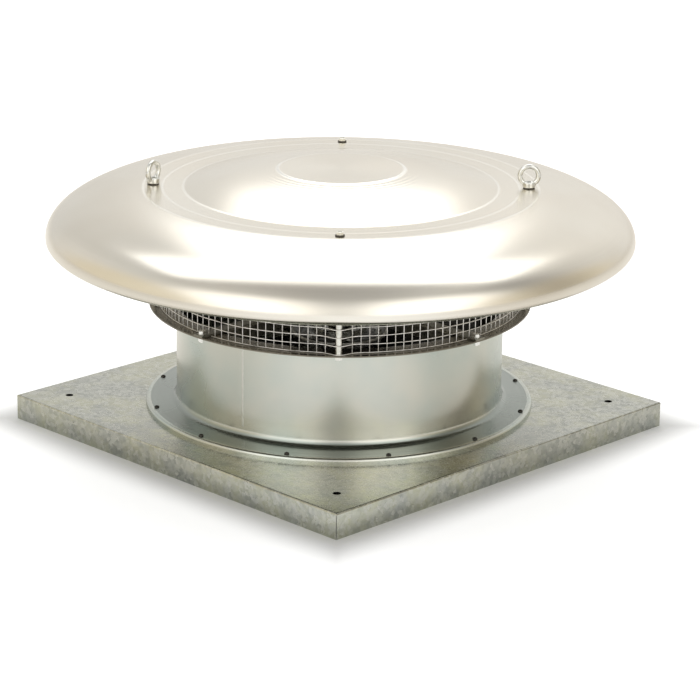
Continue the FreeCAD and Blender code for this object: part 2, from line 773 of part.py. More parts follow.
def make_housing():
    """Extruded aluminium motor housing with upright cooling fins."""
    body = tube(housing_diameter, 2 * housing_bore_radius, housing_bottom, housing_top)
    bottom = housing_bottom + fin_end_gap
    fin = Part.makeBox(fin_height + overlap, fin_thickness, housing_length - 2 * fin_end_gap,
                       Vector(housing_radius - overlap, -fin_thickness / 2, bottom))
    step = 360.0 / fin_count
    fins = [turned_about_axis(fin, (i + 0.5) * step) for i in range(fin_count)
            if abs(((i + 0.5) * step - terminal_angle + 180) % 360 - 180) > fin_free_angle]
    pad = facing(box_slab(housing_radius - housing_wall, box_back, box_width, box_height))
    body = body.fuse(fins + [pad]).cut(cylinder(2 * housing_bore_radius, housing_bottom, housing_top))
    wire_hole = side_rod(wire_hole_diameter, housing_bore_radius - 2 * past, box_back + past, 0,
                         box_centre_height)
    screw_holes = [side_rod(lid_screw_diameter + 2 * fit_gap, box_back - box_fixing_length - past,
                            box_back + past, y, box_centre_height) for y in box_fixing_places]
    return body.cut([facing(hole) for hole in [wire_hole] + screw_holes])


def make_stator_core():
    """Laminated stator core with open slots."""
    core = tube(2 * housing_bore_radius - 2 * fit_gap, stator_bore, stator_bottom, stator_top)
    tooth = stator_bore / 2 + slot_tooth_tip
    slot = Part.makeBox(slot_depth, slot_width, stator_length + 2 * past,
                        Vector(tooth, -slot_width / 2, stator_bottom - past))
    mouth = Part.makeBox(slot_tooth_tip + past + overlap, slot_mouth, stator_length + 2 * past,
                         Vector(stator_bore / 2 - past, -slot_mouth / 2, stator_bottom - past))
    return core.cut(ring_of(slot.fuse(mouth), slot_count))


def make_windings():
    """Copper windings: a bar of wires in each slot and a lashed head at each end."""
    inner = stator_bore / 2 + slot_tooth_tip + running_gap
    depth = slot_depth - 2 * running_gap
    width = slot_width - 2 * running_gap
    bar = Part.makeBox(depth, width, stator_length + 2 * overlap,
                       Vector(inner, -width / 2, stator_bottom - overlap))
    outer = inner + winding_head_width
    low = stator_bottom - running_gap
    high = stator_top + running_gap
    far = winding_head_radius
    near = winding_core_radius
    heads = [turned([(inner, low - winding_head_height, far), (outer, low - winding_head_height, far),
                     (outer, low, near), (inner, low, near)]),
             turned([(inner, high, near), (outer, high, near), (outer, high + winding_head_height, far),
                     (inner, high + winding_head_height, far)])]
    return heads[0].fuse([heads[1]] + ring_of(bar, slot_count))


def make_rotor_core():
    """Laminated rotor core on the shaft."""
    return tube(2 * rotor_radius, shaft_core_diameter + 2 * fit_gap, stator_bottom, stator_top)


def make_cage_rings():
    """Cast aluminium end rings of the rotor cage."""
    outer = 2 * rotor_radius - 2 * cage_ring_inset
    inner = outer - 2 * cage_ring_width
    return [tube(outer, inner, stator_top, stator_top + cage_ring_height),
            tube(outer, inner, stator_bottom - cage_ring_height, stator_bottom)]


def make_shaft():
    """Turned steel shaft, with a keyway and a tapped hole at its lower end."""
    core = shaft_core_diameter / 2
    journal = bearing_bore / 2
    end = shaft_diameter / 2
    shaft = turned([
        (0, shaft_bottom), (end - shaft_end_ease, shaft_bottom), (end, shaft_bottom + shaft_end_ease),
        (end, lower_bearing_bottom - bearing_lift), (journal, lower_bearing_bottom - bearing_lift),
        (journal, lower_bearing_top), (core, lower_bearing_top), (core, upper_bearing_bottom),
        (journal, upper_bearing_bottom), (journal, upper_bearing_top - shaft_end_ease),
        (journal - shaft_end_ease, upper_bearing_top), (0, upper_bearing_top)])
    keyway = Part.makeBox(key_height, key_width, key_length,
                          Vector(end - key_height / 2, -key_width / 2, shaft_bottom + key_end_gap))
    tapped = cylinder(small_thread + 2 * fit_gap, shaft_bottom - past, shaft_bottom + shaft_thread_depth)
    return shaft.cut([keyway, tapped])


def make_shaft_key():
    """Parallel key between shaft and boss."""
    inner = shaft_diameter / 2 - key_height / 2 + fit_gap
    width = key_width - 2 * fit_gap
    return Part.makeBox(key_height - 2 * fit_gap, width, key_length - 2 * fit_gap,
                        Vector(inner, -width / 2, shaft_bottom + key_end_gap + fit_gap))


def race_ring(inner, outer, plain, bottom):
    """One ring of a bearing, with its ball groove cut in and the two corners
    of its plain side eased."""
    ring = tube(2 * outer, 2 * inner, bottom, bottom + bearing_width)
    corners = [e for e in ring.Edges if len(e.Vertexes) == 1 and abs(e.Curve.Radius - plain) < 0.01]
    groove = Part.makeTorus(ball_circle / 2, ball_diameter / 2 + race_gap,
                            Vector(0, 0, bottom + bearing_width / 2), AXIS)
    return ring.makeChamfer(ring_ease, corners).cut(groove)


def make_outer_ring(bottom):
    """Outer ring, held in the end shield."""
    land = ball_circle / 2 + ball_diameter / 2 - ring_shoulder_height
    outer = bearing_outer_diameter / 2
    return race_ring(land, outer, outer, bottom)


def make_inner_ring(bottom):
    """Inner ring, on the shaft."""
    land = ball_circle / 2 - ball_diameter / 2 + ring_shoulder_height
    bore = bearing_bore / 2 + fit_gap
    return race_ring(bore, land, bore, bottom)


def make_balls(bottom):
    """The balls of one bearing."""
    ball = Part.makeSphere(ball_diameter / 2, Vector(ball_circle / 2, 0, bottom + bearing_width / 2))
    return ring_of(ball, ball_count)


def make_ball_cage(bottom):
    """Pressed cage that spaces the balls."""
    middle = bottom + bearing_width / 2
    ring = tube(ball_circle + cage_thickness, ball_circle - cage_thickness, middle - cage_width / 2,
                middle + cage_width / 2)
    pocket = side_rod(ball_diameter + 2 * pocket_gap, ball_circle / 2 - 2 * cage_thickness,
                      ball_circle / 2 + 2 * cage_thickness, 0, middle)
    return ring.cut(ring_of(pocket, ball_count))


def make_bearing_spring():
    """Wave spring that presses on the upper bearing's outer ring."""
    bottom = upper_bearing_top + (spring_height - spring_sheet) / 2
    inner = ball_circle + ball_diameter
    return tube(bearing_outer_diameter - 2 * spring_inset, inner, bottom, bottom + spring_sheet)


def make_vee_seal():
    """Rubber lip ring on the shaft that sweeps the underside of the motor."""
    inner = shaft_diameter / 2 + fit_gap
    top = shield_bottom - running_gap
    body = inner + vee_seal_body
    groove = top - vee_seal_groove
    lip = inner + vee_seal_width
    return turned([(inner, top - vee_seal_height), (body, top - vee_seal_height),
                   (body - vee_seal_lip, groove), (lip, top), (lip - vee_seal_lip, top),
                   (inner + vee_seal_groove, groove), (inner, groove)])


def facing(shape, angle=terminal_angle):
    """A terminal box piece, drawn facing +X, turned to the box's side."""
    return turned_about_axis(shape, angle)


def box_slab(inner, outer, width, height):
    """An upright slab of the terminal box, centred on its middle height."""
    bottom = box_centre_height - height / 2
    return Part.makeBox(outer - inner, width, height, Vector(inner, -width / 2, bottom))


def lid_screw_places():
    """Places of the four lid screws, as y and z."""
    y = box_width / 2 - lid_screw_inset
    z = box_height / 2 - lid_screw_inset
    return [(sy * y, box_centre_height + sz * z) for sy in (-1, 1) for sz in (-1, 1)]


def lid_screw_holes(start, end):
    """Clearance holes of the lid screws."""
    return [side_rod(lid_screw_diameter + hole_gap, start, end, y, z) for y, z in lid_screw_places()]


def make_terminal_box():
    """Cast terminal box, open on its outer side, with a boss for each lid screw."""
    box = box_slab(box_back, box_front, box_width, box_height)
    box = box.makeFillet(box_wall, [e for e in box.Edges if e.BoundBox.XLength > box_depth - 0.01])
    inside = box_slab(box_back + box_wall, box_front + past, box_width - 2 * box_wall,
                      box_height - 2 * box_wall)
    bosses = [side_rod(2 * lid_screw_inset, box_back + overlap, box_front, y, z)
              for y, z in lid_screw_places()]
    holes = [side_rod(lid_screw_diameter + 2 * fit_gap, box_front - lid_screw_length - thread_end_gap,
                      box_front + past, y, z) for y, z in lid_screw_places()]
    start = box_back - past
    end = box_back + box_wall + past
    holes += [side_rod(lid_screw_diameter + hole_gap, start, end, y, box_centre_height)
              for y in box_fixing_places]
    holes.append(side_rod(wire_hole_diameter, start, end, 0, box_centre_height))
    holes.append(gland_piece(gland_thread + 2 * pocket_gap, box_bottom - past,
                             box_bottom + box_wall + past))
    shell = box.cut(inside).fuse(bosses)
    return facing(shell.common(box).cut(holes))


def make_box_seal():
    """Rubber frame between box and lid."""
    trim = 2 * box_seal_inset
    hollow = trim + 2 * box_wall
    frame = box_slab(box_front, lid_back, box_width - trim, box_height - trim)
    inside = box_slab(box_front, lid_back, box_width - hollow, box_height - hollow)
    corners = [side_rod(2 * lid_screw_inset - trim, box_front, lid_back, y, z)
               for y, z in lid_screw_places()]
    return facing(frame.cut(inside).fuse(corners).common(frame).cut(lid_screw_holes(box_front, lid_back)))


def make_box_lid():
    """Cast lid with rounded corners."""
    lid = box_slab(lid_back, lid_front, box_width, box_height)
    lid = lid.makeFillet(box_wall, [e for e in lid.Edges if e.BoundBox.XLength > lid_thickness - 0.01])
    return facing(lid.cut(lid_screw_holes(lid_back, lid_front)))


def make_box_screw(start, seat, y, z):
    """Cheese-head screw that points at the motor."""
    top = seat + lid_screw_head_height
    head = side_rod(lid_screw_head_diameter, seat, top, y, z)
    depth, width = lid_screw_slot
    slot = Part.makeBox(depth, lid_screw_head_diameter, width,
                        Vector(top - depth, y - lid_screw_head_diameter / 2, z - width / 2))
    return facing(head.cut(slot).fuse(side_rod(lid_screw_diameter, start, seat, y, z)))


def make_terminal_block():
    """Moulded block that the winding ends and the supply are joined on."""
    bottom = box_centre_height + terminal_block_lift
    block = Part.makeBox(terminal_block_depth, terminal_block_width, terminal_block_height,
                         Vector(box_back + box_wall, -terminal_block_width / 2, bottom))
    return facing(block)


def make_terminal_studs():
    """Brass stud and nut for each terminal."""
    seat = box_back + box_wall + terminal_block_depth
    studs = []
    for y in (-terminal_pitch, 0.0, terminal_pitch):
        for share in terminal_rows:
            z = box_centre_height + terminal_block_lift + share * terminal_block_height
            nut = side_rod(lid_screw_head_diameter, seat, seat + terminal_nut_height, y, z)
            stud = side_rod(lid_screw_diameter, seat, seat + terminal_stud_length, y, z)
            studs.append(facing(nut.fuse(stud)))
    return studs


def gland_piece(diameter, bottom, top):
    """An upright cylinder on the gland's axis."""
    return cylinder(diameter, bottom, top, gland_distance)


def gland_hex(bottom, top):
    """A hexagon on the gland's axis."""
    return hexagon(gland_across_flats, bottom, top, gland_distance)


def make_gland_body():
    """Cable gland's body: hexagon below the box wall, thread through it and
    thread for the sealing nut."""
    bottom = gland_hex_bottom - gland_inner_thread_length
    top = box_bottom + box_wall + gland_thread_length
    body = gland_hex(gland_hex_bottom, box_bottom).fuse([
        gland_piece(gland_thread, box_bottom, top),
        gland_piece(gland_thread - gland_nut_lip, bottom, gland_hex_bottom)])
    return facing(body.cut(gland_piece(gland_hole_diameter, bottom, top)))


def make_gland_locknut():
    """Locknut inside the box."""
    bottom = box_bottom + box_wall
    nut = gland_hex(bottom, bottom + gland_thread_length - overlap)
    return facing(nut.cut(gland_piece(gland_thread + 2 * pocket_gap, bottom, box_centre_height)))


def make_gland_nut():
    """Sealing nut of the gland, open at its lower end for the seal's collar."""
    bottom = gland_nut_top - gland_nut_height
    nut = gland_hex(bottom, gland_nut_top)
    thread = gland_piece(gland_thread - gland_nut_lip + 2 * pocket_gap, gland_nut_floor, gland_nut_top)
    mouth = gland_piece(gland_collar_diameter + 2 * pocket_gap, bottom, gland_nut_top)
    return facing(nut.cut([thread, mouth]))


def make_gland_seal():
    """Rubber insert that grips the cable. Its collar fills the nut's mouth."""
    top = gland_hex_bottom - gland_inner_thread_length
    bottom = gland_nut_floor - gland_nut_lip
    insert = gland_piece(gland_thread - gland_nut_lip, gland_nut_floor, top)
    insert = insert.fuse(gland_piece(gland_collar_diameter, bottom, top))
    return facing(insert.cut(gland_piece(cable_diameter, bottom, top)))


def make_hub_half(upper):
    """One half of the impeller hub, with half of each blade's socket."""
    bore = boss_diameter / 2 + hub_bore_gap
    bottom = impeller_plane if upper else hub_bottom
    top = hub_top if upper else impeller_plane
    edge = hub_edge_radius
    outline = [(bore, bottom), (hub_radius, bottom), (hub_radius, top, edge), (bore, top)]
    if not upper:
        outline = [(bore, bottom), (hub_radius, bottom, edge), (hub_radius, top), (bore, top)]
    socket = side_rod(spigot_diameter + 2 * fit_gap, spigot_inner_radius - fit_gap, hub_radius + past, 0,
                      impeller_plane)
    clamp_hole = cylinder(small_thread + hole_gap, bottom, top, clamp_bolt_circle / 2)
    cuts = ring_of(socket, blade_count) + ring_of(clamp_hole, blade_count, 180.0 / blade_count)
    if upper:
        tapped = cylinder(small_thread + 2 * fit_gap, top - boss_screw_depth, top, boss_screw_circle / 2)
        cuts += ring_of(tapped, 4, 45.0)
    return turned(outline).cut(cuts)


def make_hub_boss():
    """Turned boss, keyed on the shaft and screwed on the hub."""
    bore = shaft_diameter / 2 + fit_gap
    barrel = boss_diameter / 2
    flange = boss_flange_diameter / 2
    boss = turned([(bore, boss_bottom), (barrel, boss_bottom), (barrel, hub_top), (flange, hub_top),
                   (flange, hub_top + boss_flange_thickness, boss_edge_radius),
                   (barrel, hub_top + boss_flange_thickness, boss_root_radius),
                   (barrel, boss_top, boss_edge_radius), (bore, boss_top)])
    keyway = Part.makeBox(shaft_diameter / 2 + key_height / 2, key_width, boss_length,
                          Vector(0, -key_width / 2, boss_bottom))
    hole = cylinder(small_thread + hole_gap, hub_top, hub_top + boss_flange_thickness,
                    boss_screw_circle / 2)
    return boss.cut([keyway] + ring_of(hole, 4, 45.0))


def make_boss_screw():
    """Hex screw from the boss flange into the hub."""
    seat = hub_top + boss_flange_thickness
    radius = boss_screw_circle / 2
    shank = cylinder(small_thread, hub_top - boss_screw_depth + thread_end_gap, seat, radius)
    return hexagon(small_across_flats, seat, seat + small_head_height, radius).fuse(shank)


def make_clamp_bolt():
    """Bolt through both halves of the hub."""
    radius = clamp_bolt_circle / 2
    bottom = hub_bottom - small_nut_height - bolt_tail
    return hexagon(small_across_flats, hub_top, hub_top + small_head_height, radius).fuse(
        cylinder(small_thread, bottom, hub_top, radius))


def make_clamp_nut():
    """Nut under the lower half of the hub."""
    radius = clamp_bolt_circle / 2
    nut = hexagon(small_across_flats, hub_bottom - small_nut_height, hub_bottom, radius)
    return nut.cut(cylinder(small_thread + 2 * fit_gap, hub_bottom - small_nut_height, hub_bottom, radius))


def blade_section(radius, chord, pitch):
    """Cambered section of a blade: two arcs from edge to edge."""
    turn = math.radians(pitch)
    along = Vector(0, math.cos(turn), math.sin(turn))
    across = Vector(0, -math.sin(turn), math.cos(turn))
    centre = Vector(radius, 0, impeller_plane)
    lead = centre - along * (chord / 2)
    trail = centre + along * (chord / 2)
    bulge = blade_camber * chord
    thick = blade_thickness / 2
    return Part.Wire([Part.Arc(lead, centre + across * (bulge + thick), trail).toShape(),
                      Part.Arc(trail, centre + across * (bulge - thick), lead).toShape()])


def make_blade():
    """Moulded blade with a collar and a round spigot that the hub clamps."""
    tip = drum_bore_radius - tip_gap
    root = hub_radius + blade_root_gap
    sections = [blade_section(root + collar_height / 2, blade_root_chord, blade_root_pitch),
                blade_section((root + tip) / 2, blade_mid_chord, blade_mid_pitch),
                blade_section(tip + blade_thickness, blade_tip_chord, blade_tip_pitch)]
    swept = cylinder(2 * tip, impeller_plane - blade_mid_chord, impeller_plane + blade_mid_chord)
    blade = Part.makeLoft(sections, True).common(swept)
    collar = side_rod(collar_diameter, root, root + collar_height, 0, impeller_plane)
    spigot = side_rod(spigot_diameter, spigot_inner_radius, root + overlap, 0, impeller_plane)
    return blade.fuse([collar, spigot])


def make_retainer():
    """Thick washer that holds the boss on the shaft's end."""
    return washer(retainer_diameter, small_thread, boss_bottom - retainer_thickness, retainer_thickness, 0)


def make_retainer_bolt():
    """Hex bolt up into the shaft's end."""
    top = boss_bottom - retainer_thickness
    return hexagon(small_across_flats, top - small_head_height, top).fuse(
        cylinder(small_thread, top, shaft_bottom + shaft_thread_depth - 2 * thread_end_gap))


def small_washers():
    """All the washers of the flange, arm and disc fixings."""
    size = (small_washer_diameter, small_thread)
    thick = small_washer_thickness
    arm_underside = arm_top - arm_sheet
    washers = ring_of(washer(*size, flange_underside - thick, thick, fixing_radius), 8)
    washers += at_angles(washer(*size, arm_top, thick, fixing_radius), arm_angles)
    for radius in mount_bolt_radii:
        washers += at_angles(washer(*size, disc_top, thick, radius), arm_angles)
        washers += at_angles(washer(*size, arm_underside - thick, thick, radius), arm_angles)
    return washers


def arm_bolts():
    """Bolts of the four arms, on the top flange and on the mounting disc."""
    bolts = at_angles(bolt_down(fixing_radius, arm_top, flange_underside), arm_angles)
    for radius in mount_bolt_radii:
        bolts += at_angles(bolt_down(radius, disc_top, arm_top - arm_sheet), arm_angles)
    return bolts


def arm_nuts():
    """Nuts of the four arms' bolts."""
    nuts = at_angles(nut_below(fixing_radius, flange_underside), arm_angles)
    for radius in mount_bolt_radii:
        nuts += at_angles(nut_below(radius, arm_top - arm_sheet), arm_angles)
    return nuts


def make_tie_rod():
    """Long screw that holds the two end shields on the housing."""
    head = hexagon(tie_rod_across_flats, ear_top, ear_top + tie_rod_head_height, tie_rod_circle / 2)
    bottom = disc_top + tie_rod_hole_floor + past
    return head.fuse(cylinder(tie_rod_diameter, bottom, ear_top, tie_rod_circle / 2))


def build():
    """Make and write every piece."""
    save("base_plate", make_base_plate())
    save("curb_seal", make_curb_seal())
    save("fan_drum", make_drum())
    save("drum_seal", make_drum_seal())
    save("drum_rivets", *ring_of(make_rivet(), rivet_count))
    save("support_arms", *at_angles(make_support_arm(), arm_angles))
    save("arm_bolts", *arm_bolts())
    save("arm_nuts", *arm_nuts())
    save("small_washers", *small_washers())
    save("mount_disc", make_mount_disc())
    save("cowl_posts", *at_angles(make_post(), post_angles))
    save("post_screws", *at_angles(make_post_screw(), post_angles))
    save("cowl", make_cowl())
    nut_angles = [a for a in post_angles if a not in eye_angles]
    save("cowl_seal_washers", *at_angles(make_seal_washer(eye_washer_diameter), eye_angles),
         *at_angles(make_seal_washer(nut_washer_diameter), nut_angles))
    save("cowl_nuts", *at_angles(make_cowl_nut(), nut_angles))
    save("eye_nut_right", make_eye_nut(eye_angles[0], eye_turns[0]))
    save("eye_nut_left", make_eye_nut(eye_angles[1], eye_turns[1]))
    save("guard_hoops", *make_guard_hoops())
    save("guard_uprights", *make_guard_uprights())
    save("motor_housing", make_housing())
    save("motor_lower_end_shield", make_drive_end_shield())
    save("motor_upper_end_shield", make_top_end_shield())
    save("motor_screws", *ring_of(make_motor_screw(), 4))
    save("motor_tie_rods", *at_angles(make_tie_rod(), tie_rod_angles))
    save("stator_core", make_stator_core())
    save("stator_windings", make_windings())
    save("rotor_core", make_rotor_core())
    save("rotor_end_rings", *make_cage_rings())
    save("motor_shaft", make_shaft())
    save("shaft_key", make_shaft_key())
    save("shaft_vee_seal", make_vee_seal())
    for name, bottom in (("lower", lower_bearing_bottom), ("upper", upper_bearing_bottom)):
        save(name + "_bearing_outer_ring", make_outer_ring(bottom))
        save(name + "_bearing_inner_ring", make_inner_ring(bottom))
        save(name + "_bearing_balls", *make_balls(bottom))
        save(name + "_bearing_cage", make_ball_cage(bottom))
    save("bearing_spring", make_bearing_spring())
    save("terminal_box", make_terminal_box())
    save("terminal_box_seal", make_box_seal())
    save("terminal_box_lid", make_box_lid())
    save("lid_screws", *[
        make_box_screw(box_front - lid_screw_length, lid_front, y, z) for y, z in lid_screw_places()])
    save("box_fixing_screws", *[
        make_box_screw(box_back - box_fixing_length, box_back + box_wall, y, box_centre_height)
        for y in box_fixing_places])
    save("terminal_block", make_terminal_block())
    save("terminal_studs", *make_terminal_studs())
    save("gland_body", make_gland_body())
    save("gland_locknut", make_gland_locknut())
    save("gland_nut", make_gland_nut())
    save("gland_seal", make_gland_seal())
    save("hub_lower_half", make_hub_half(False))
    save("hub_upper_half", make_hub_half(True))
    save("hub_boss", make_hub_boss())
    save("boss_screws", *ring_of(make_boss_screw(), 4, 45.0))
    save("clamp_bolts", *ring_of(make_clamp_bolt(), blade_count, 180.0 / blade_count))
    save("clamp_nuts", *ring_of(make_clamp_nut(), blade_count, 180.0 / blade_count))
    save("impeller_blades", *ring_of(make_blade(), blade_count))
    save("retainer_disc", make_retainer())
    save("retainer_bolt", make_retainer_bolt())


if __name__ == "__main__":
    os.makedirs("parts", exist_ok=True)
    build()
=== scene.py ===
import math

import bpy
from mathutils import Matrix, Vector


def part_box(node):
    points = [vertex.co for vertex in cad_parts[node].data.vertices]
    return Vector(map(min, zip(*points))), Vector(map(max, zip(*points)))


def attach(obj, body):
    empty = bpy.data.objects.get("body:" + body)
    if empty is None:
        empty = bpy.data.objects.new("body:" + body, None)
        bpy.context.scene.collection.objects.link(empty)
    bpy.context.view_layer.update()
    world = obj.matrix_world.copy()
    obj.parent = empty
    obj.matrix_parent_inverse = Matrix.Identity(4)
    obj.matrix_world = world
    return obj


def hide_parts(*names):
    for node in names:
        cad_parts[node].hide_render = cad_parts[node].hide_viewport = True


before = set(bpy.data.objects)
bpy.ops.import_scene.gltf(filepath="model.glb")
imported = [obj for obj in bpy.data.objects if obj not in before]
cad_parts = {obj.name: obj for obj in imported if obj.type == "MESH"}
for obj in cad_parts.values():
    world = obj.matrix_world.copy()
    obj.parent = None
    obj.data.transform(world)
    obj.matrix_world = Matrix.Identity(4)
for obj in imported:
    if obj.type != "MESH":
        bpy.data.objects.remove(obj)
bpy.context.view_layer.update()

# Camera
# It looks at a corner of the base from a little above the cowl's rim, through a long lens.
view_azimuth = math.radians(44.957)
view_elevation = math.radians(17.758)
view_roll = math.radians(0.679)
view_distance = 4.399
view_target = Vector((0.01166, 0.01164, 0.1181))

camera_data = bpy.data.cameras.new("camera")
camera_data.sensor_width = 36.0
camera_data.sensor_fit = "HORIZONTAL"
camera_data.lens = 145.86
camera = bpy.data.objects.new("camera", camera_data)
bpy.context.scene.collection.objects.link(camera)


def facing_matrix(azimuth, elevation, target, distance):
    """Where a camera or lamp stands that looks at a target from that side and height."""
    back = Vector((math.sin(azimuth) * math.cos(elevation), -math.cos(azimuth) * math.cos(elevation),
                   math.sin(elevation)))
    return (Matrix.Translation(target + back * distance) @ Matrix.Rotation(azimuth, 4, "Z")
            @ Matrix.Rotation(math.pi / 2 - elevation, 4, "X"))


camera.matrix_world = (facing_matrix(view_azimuth, view_elevation, view_target, view_distance)
                       @ Matrix.Rotation(view_roll, 4, "Z"))
bpy.context.scene.camera = camera

# Base plate
# The square cap that sits over the roof curb, cut from 2 mm galvanised sheet. Its four lips are
# folded down on a brake, so their corners stay open as thin slits. A bolt goes in each corner.
plate_low, plate_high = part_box("base_plate")
plate_top = plate_high.z
sheet_wall = 0.002
fold_radius = 0.003
inlet_radius = 0.262
corner_hole_radius = 0.006
corner_hole_place = 0.297
slit_length = 0.012
slit_width = 0.0008
cutter_depth = 0.02
cutter_past = 0.001


def start_piece(name):
    """Names the primitive that was just added and puts its place into its mesh."""
    piece = bpy.context.object
    piece.name = name
    bpy.ops.object.transform_apply(location=True, rotation=True, scale=True)
    return piece


def pick_faces(piece, wanted):
    """Selects the faces whose middle and normal pass a test, and stays in edit mode."""
    bpy.ops.object.mode_set(mode="OBJECT")
    for part in (piece.data.vertices, piece.data.edges):
        for item in part:
            item.select = False
    for face in piece.data.polygons:
        face.select = wanted(face.center, face.normal)
    bpy.context.tool_settings.mesh_select_mode = (False, False, True)
    bpy.ops.object.mode_set(mode="EDIT")


def pick_edges(piece, wanted):
    """Selects the edges whose two ends pass a test, and stays in edit mode."""
    bpy.ops.object.mode_set(mode="OBJECT")
    corners = piece.data.vertices
    for part in (corners, piece.data.polygons):
        for item in part:
            item.select = False
    for edge in piece.data.edges:
        edge.select = wanted(corners[edge.vertices[0]].co, corners[edge.vertices[1]].co)
    bpy.context.tool_settings.mesh_select_mode = (False, True, False)
    bpy.ops.object.mode_set(mode="EDIT")


def join_pieces(pieces, name):
    """Joins pieces into the first one."""
    bpy.ops.object.select_all(action="DESELECT")
    for piece in pieces:
        piece.select_set(True)
    bpy.context.view_layer.objects.active = pieces[0]
    if len(pieces) > 1:
        bpy.ops.object.join()
    pieces[0].name = name
    return pieces[0]


def apply_modifier(piece, kind, **settings):
    """Gives a piece a modifier and applies it."""
    modifier = piece.modifiers.new(kind.lower(), kind)
    for name, value in settings.items():
        setattr(modifier, name, value)
    bpy.context.view_layer.objects.active = piece
    bpy.ops.object.modifier_apply(modifier=modifier.name)


def combine(piece, tools, operation):
    """Cuts tools out of a piece, adds them to it, or keeps what they share with it."""
    tool = join_pieces(tools, "tool")
    apply_modifier(piece, "BOOLEAN", operation=operation, object=tool, solver="EXACT")
    bpy.data.objects.remove(tool)


def drill(radius, depth, place, sides=40, rotation=(0, 0, 0)):
    """A round cutter."""
    bpy.ops.object.select_all(action="DESELECT")
    bpy.ops.mesh.primitive_cylinder_add(vertices=sides, radius=radius, depth=depth, location=place,
                                        rotation=rotation)
    return start_piece("drill")


bpy.ops.object.select_all(action="DESELECT")
bpy.ops.mesh.primitive_cube_add(size=1, location=(plate_low + plate_high) / 2, scale=plate_high - plate_low)
plate = start_piece("base_plate_sheet")
pick_faces(plate, lambda middle, normal: normal.z < -0.5)
bpy.ops.mesh.delete(type="FACE")
pick_edges(plate, lambda a, b: min(a.z, b.z) > plate_top - 1e-5)
bpy.ops.mesh.bevel(offset=fold_radius, segments=6, affect="EDGES")
bpy.ops.object.mode_set(mode="OBJECT")
apply_modifier(plate, "SOLIDIFY", thickness=sheet_wall, offset=-1.0, use_even_offset=True)
cutters = [drill(inlet_radius, cutter_depth, (0, 0, plate_top), 160)]
slit_height = plate_top - fold_radius
slit_reach = plate_high.x - slit_length / 2 / math.sqrt(2) + cutter_past
for side_x in (-1, 1):
    for side_y in (-1, 1):
        hole_place = (side_x * corner_hole_place, side_y * corner_hole_place, plate_top)
        cutters.append(drill(corner_hole_radius, cutter_depth, hole_place))
        bpy.ops.object.select_all(action="DESELECT")
        bpy.ops.mesh.primitive_cube_add(
            size=1, location=(side_x * slit_reach, side_y * slit_reach, slit_height / 2 - cutter_past),
            rotation=(0, 0, math.atan2(side_y, side_x)),
            scale=(slit_length, slit_width, slit_height + 2 * cutter_past))
        cutters.append(start_piece("slit_cutter"))
combine(plate, cutters, "DIFFERENCE")


def colour(code):
    """An sRGB hex colour as a linear one."""
    shares = [int(code[i:i + 2], 16) / 255 for i in (0, 2, 4)]
    return tuple(s / 12.92 if s <= 0.04045 else ((s + 0.055) / 1.055) ** 2.4 for s in shares) + (1.0,)


def add_node(tree, kind, inputs=None, **settings):
    """Adds a shader node with its settings, and fills or links its inputs by name or number."""
    node = tree.nodes.new("ShaderNode" + kind)
    for name, value in settings.items():
        setattr(node, name, value)
    for name, value in (inputs or {}).items():
        if isinstance(value, bpy.types.NodeSocket):
            tree.links.new(value, node.inputs[name])
        else:
            node.inputs[name].default_value = value
    return node


def empty_material(name):
    """A new material with an empty node tree."""
    material = bpy.data.materials.new(name)
    material.use_nodes = True
    material.node_tree.nodes.clear()
    return material, material.node_tree


def galvanised_sheet(name, dark, middle, light, spangle, roughness, buckle):
    """Hot-dip galvanised sheet. The zinc freezes in flat crystals, the spangle, and each mirrors
    the room a little differently, so the eye sees a fine grey mosaic with a soft gloss, over
    cooler and creamier clouds."""
    material, tree = empty_material(name)
    place = add_node(tree, "TexCoord").outputs["Object"]
    warp = add_node(tree, "TexNoise", {"Vector": place, "Scale": 1.2 / spangle,
                                       "Detail": 2.0}).outputs["Color"]
    bent = add_node(tree, "VectorMath", {0: warp, 1: (spangle,) * 3, 2: place},
                    operation="MULTIPLY_ADD").outputs[0]
    crystal = add_node(tree, "TexVoronoi", {"Vector": bent, "Scale": 1 / spangle}).outputs["Color"]
    facet = add_node(tree, "SeparateColor", {"Color": crystal}).outputs[0]
    cloud = add_node(tree, "TexNoise", {"Vector": place, "Scale": 14.0, "Detail": 6.0,
                                        "Roughness": 0.65}).outputs["Fac"]
    grain = add_node(tree, "TexNoise", {"Vector": place, "Scale": 5 / spangle,
                                        "Detail": 3.0}).outputs["Fac"]
    cloudy = add_node(tree, "MapRange", {0: cloud, 1: 0.42, 2: 0.58}).outputs[0]
    tone = add_node(tree, "Mix", {0: cloudy, 6: colour(dark), 7: colour(middle)},
                    data_type="RGBA").outputs[2]
    bright = add_node(tree, "MapRange", {0: facet, 1: 0.1, 2: 0.95, 4: 0.6}).outputs[0]
    tone = add_node(tree, "Mix", {0: bright, 6: tone, 7: colour(light)}, data_type="RGBA").outputs[2]
    dull = add_node(tree, "MapRange", {0: facet, 3: roughness - 0.05, 4: roughness + 0.08}).outputs[0]
    waves = add_node(tree, "TexNoise", {"Vector": place, "Scale": 9.0, "Detail": 1.0}).outputs["Fac"]
    relief = add_node(tree, "Bump", {"Height": waves, "Distance": buckle}).outputs[0]
    relief = add_node(tree, "Bump", {"Height": facet, "Distance": 0.000005, "Normal": relief}).outputs[0]
    relief = add_node(tree, "Bump", {"Height": grain, "Distance": 0.000004, "Normal": relief}).outputs[0]
    zinc = add_node(tree, "BsdfPrincipled", {"Base Color": tone, "Metallic": 1.0, "Roughness": dull,
                                             "Normal": relief})
    add_node(tree, "OutputMaterial", {"Surface": zinc.outputs[0]})
    return material


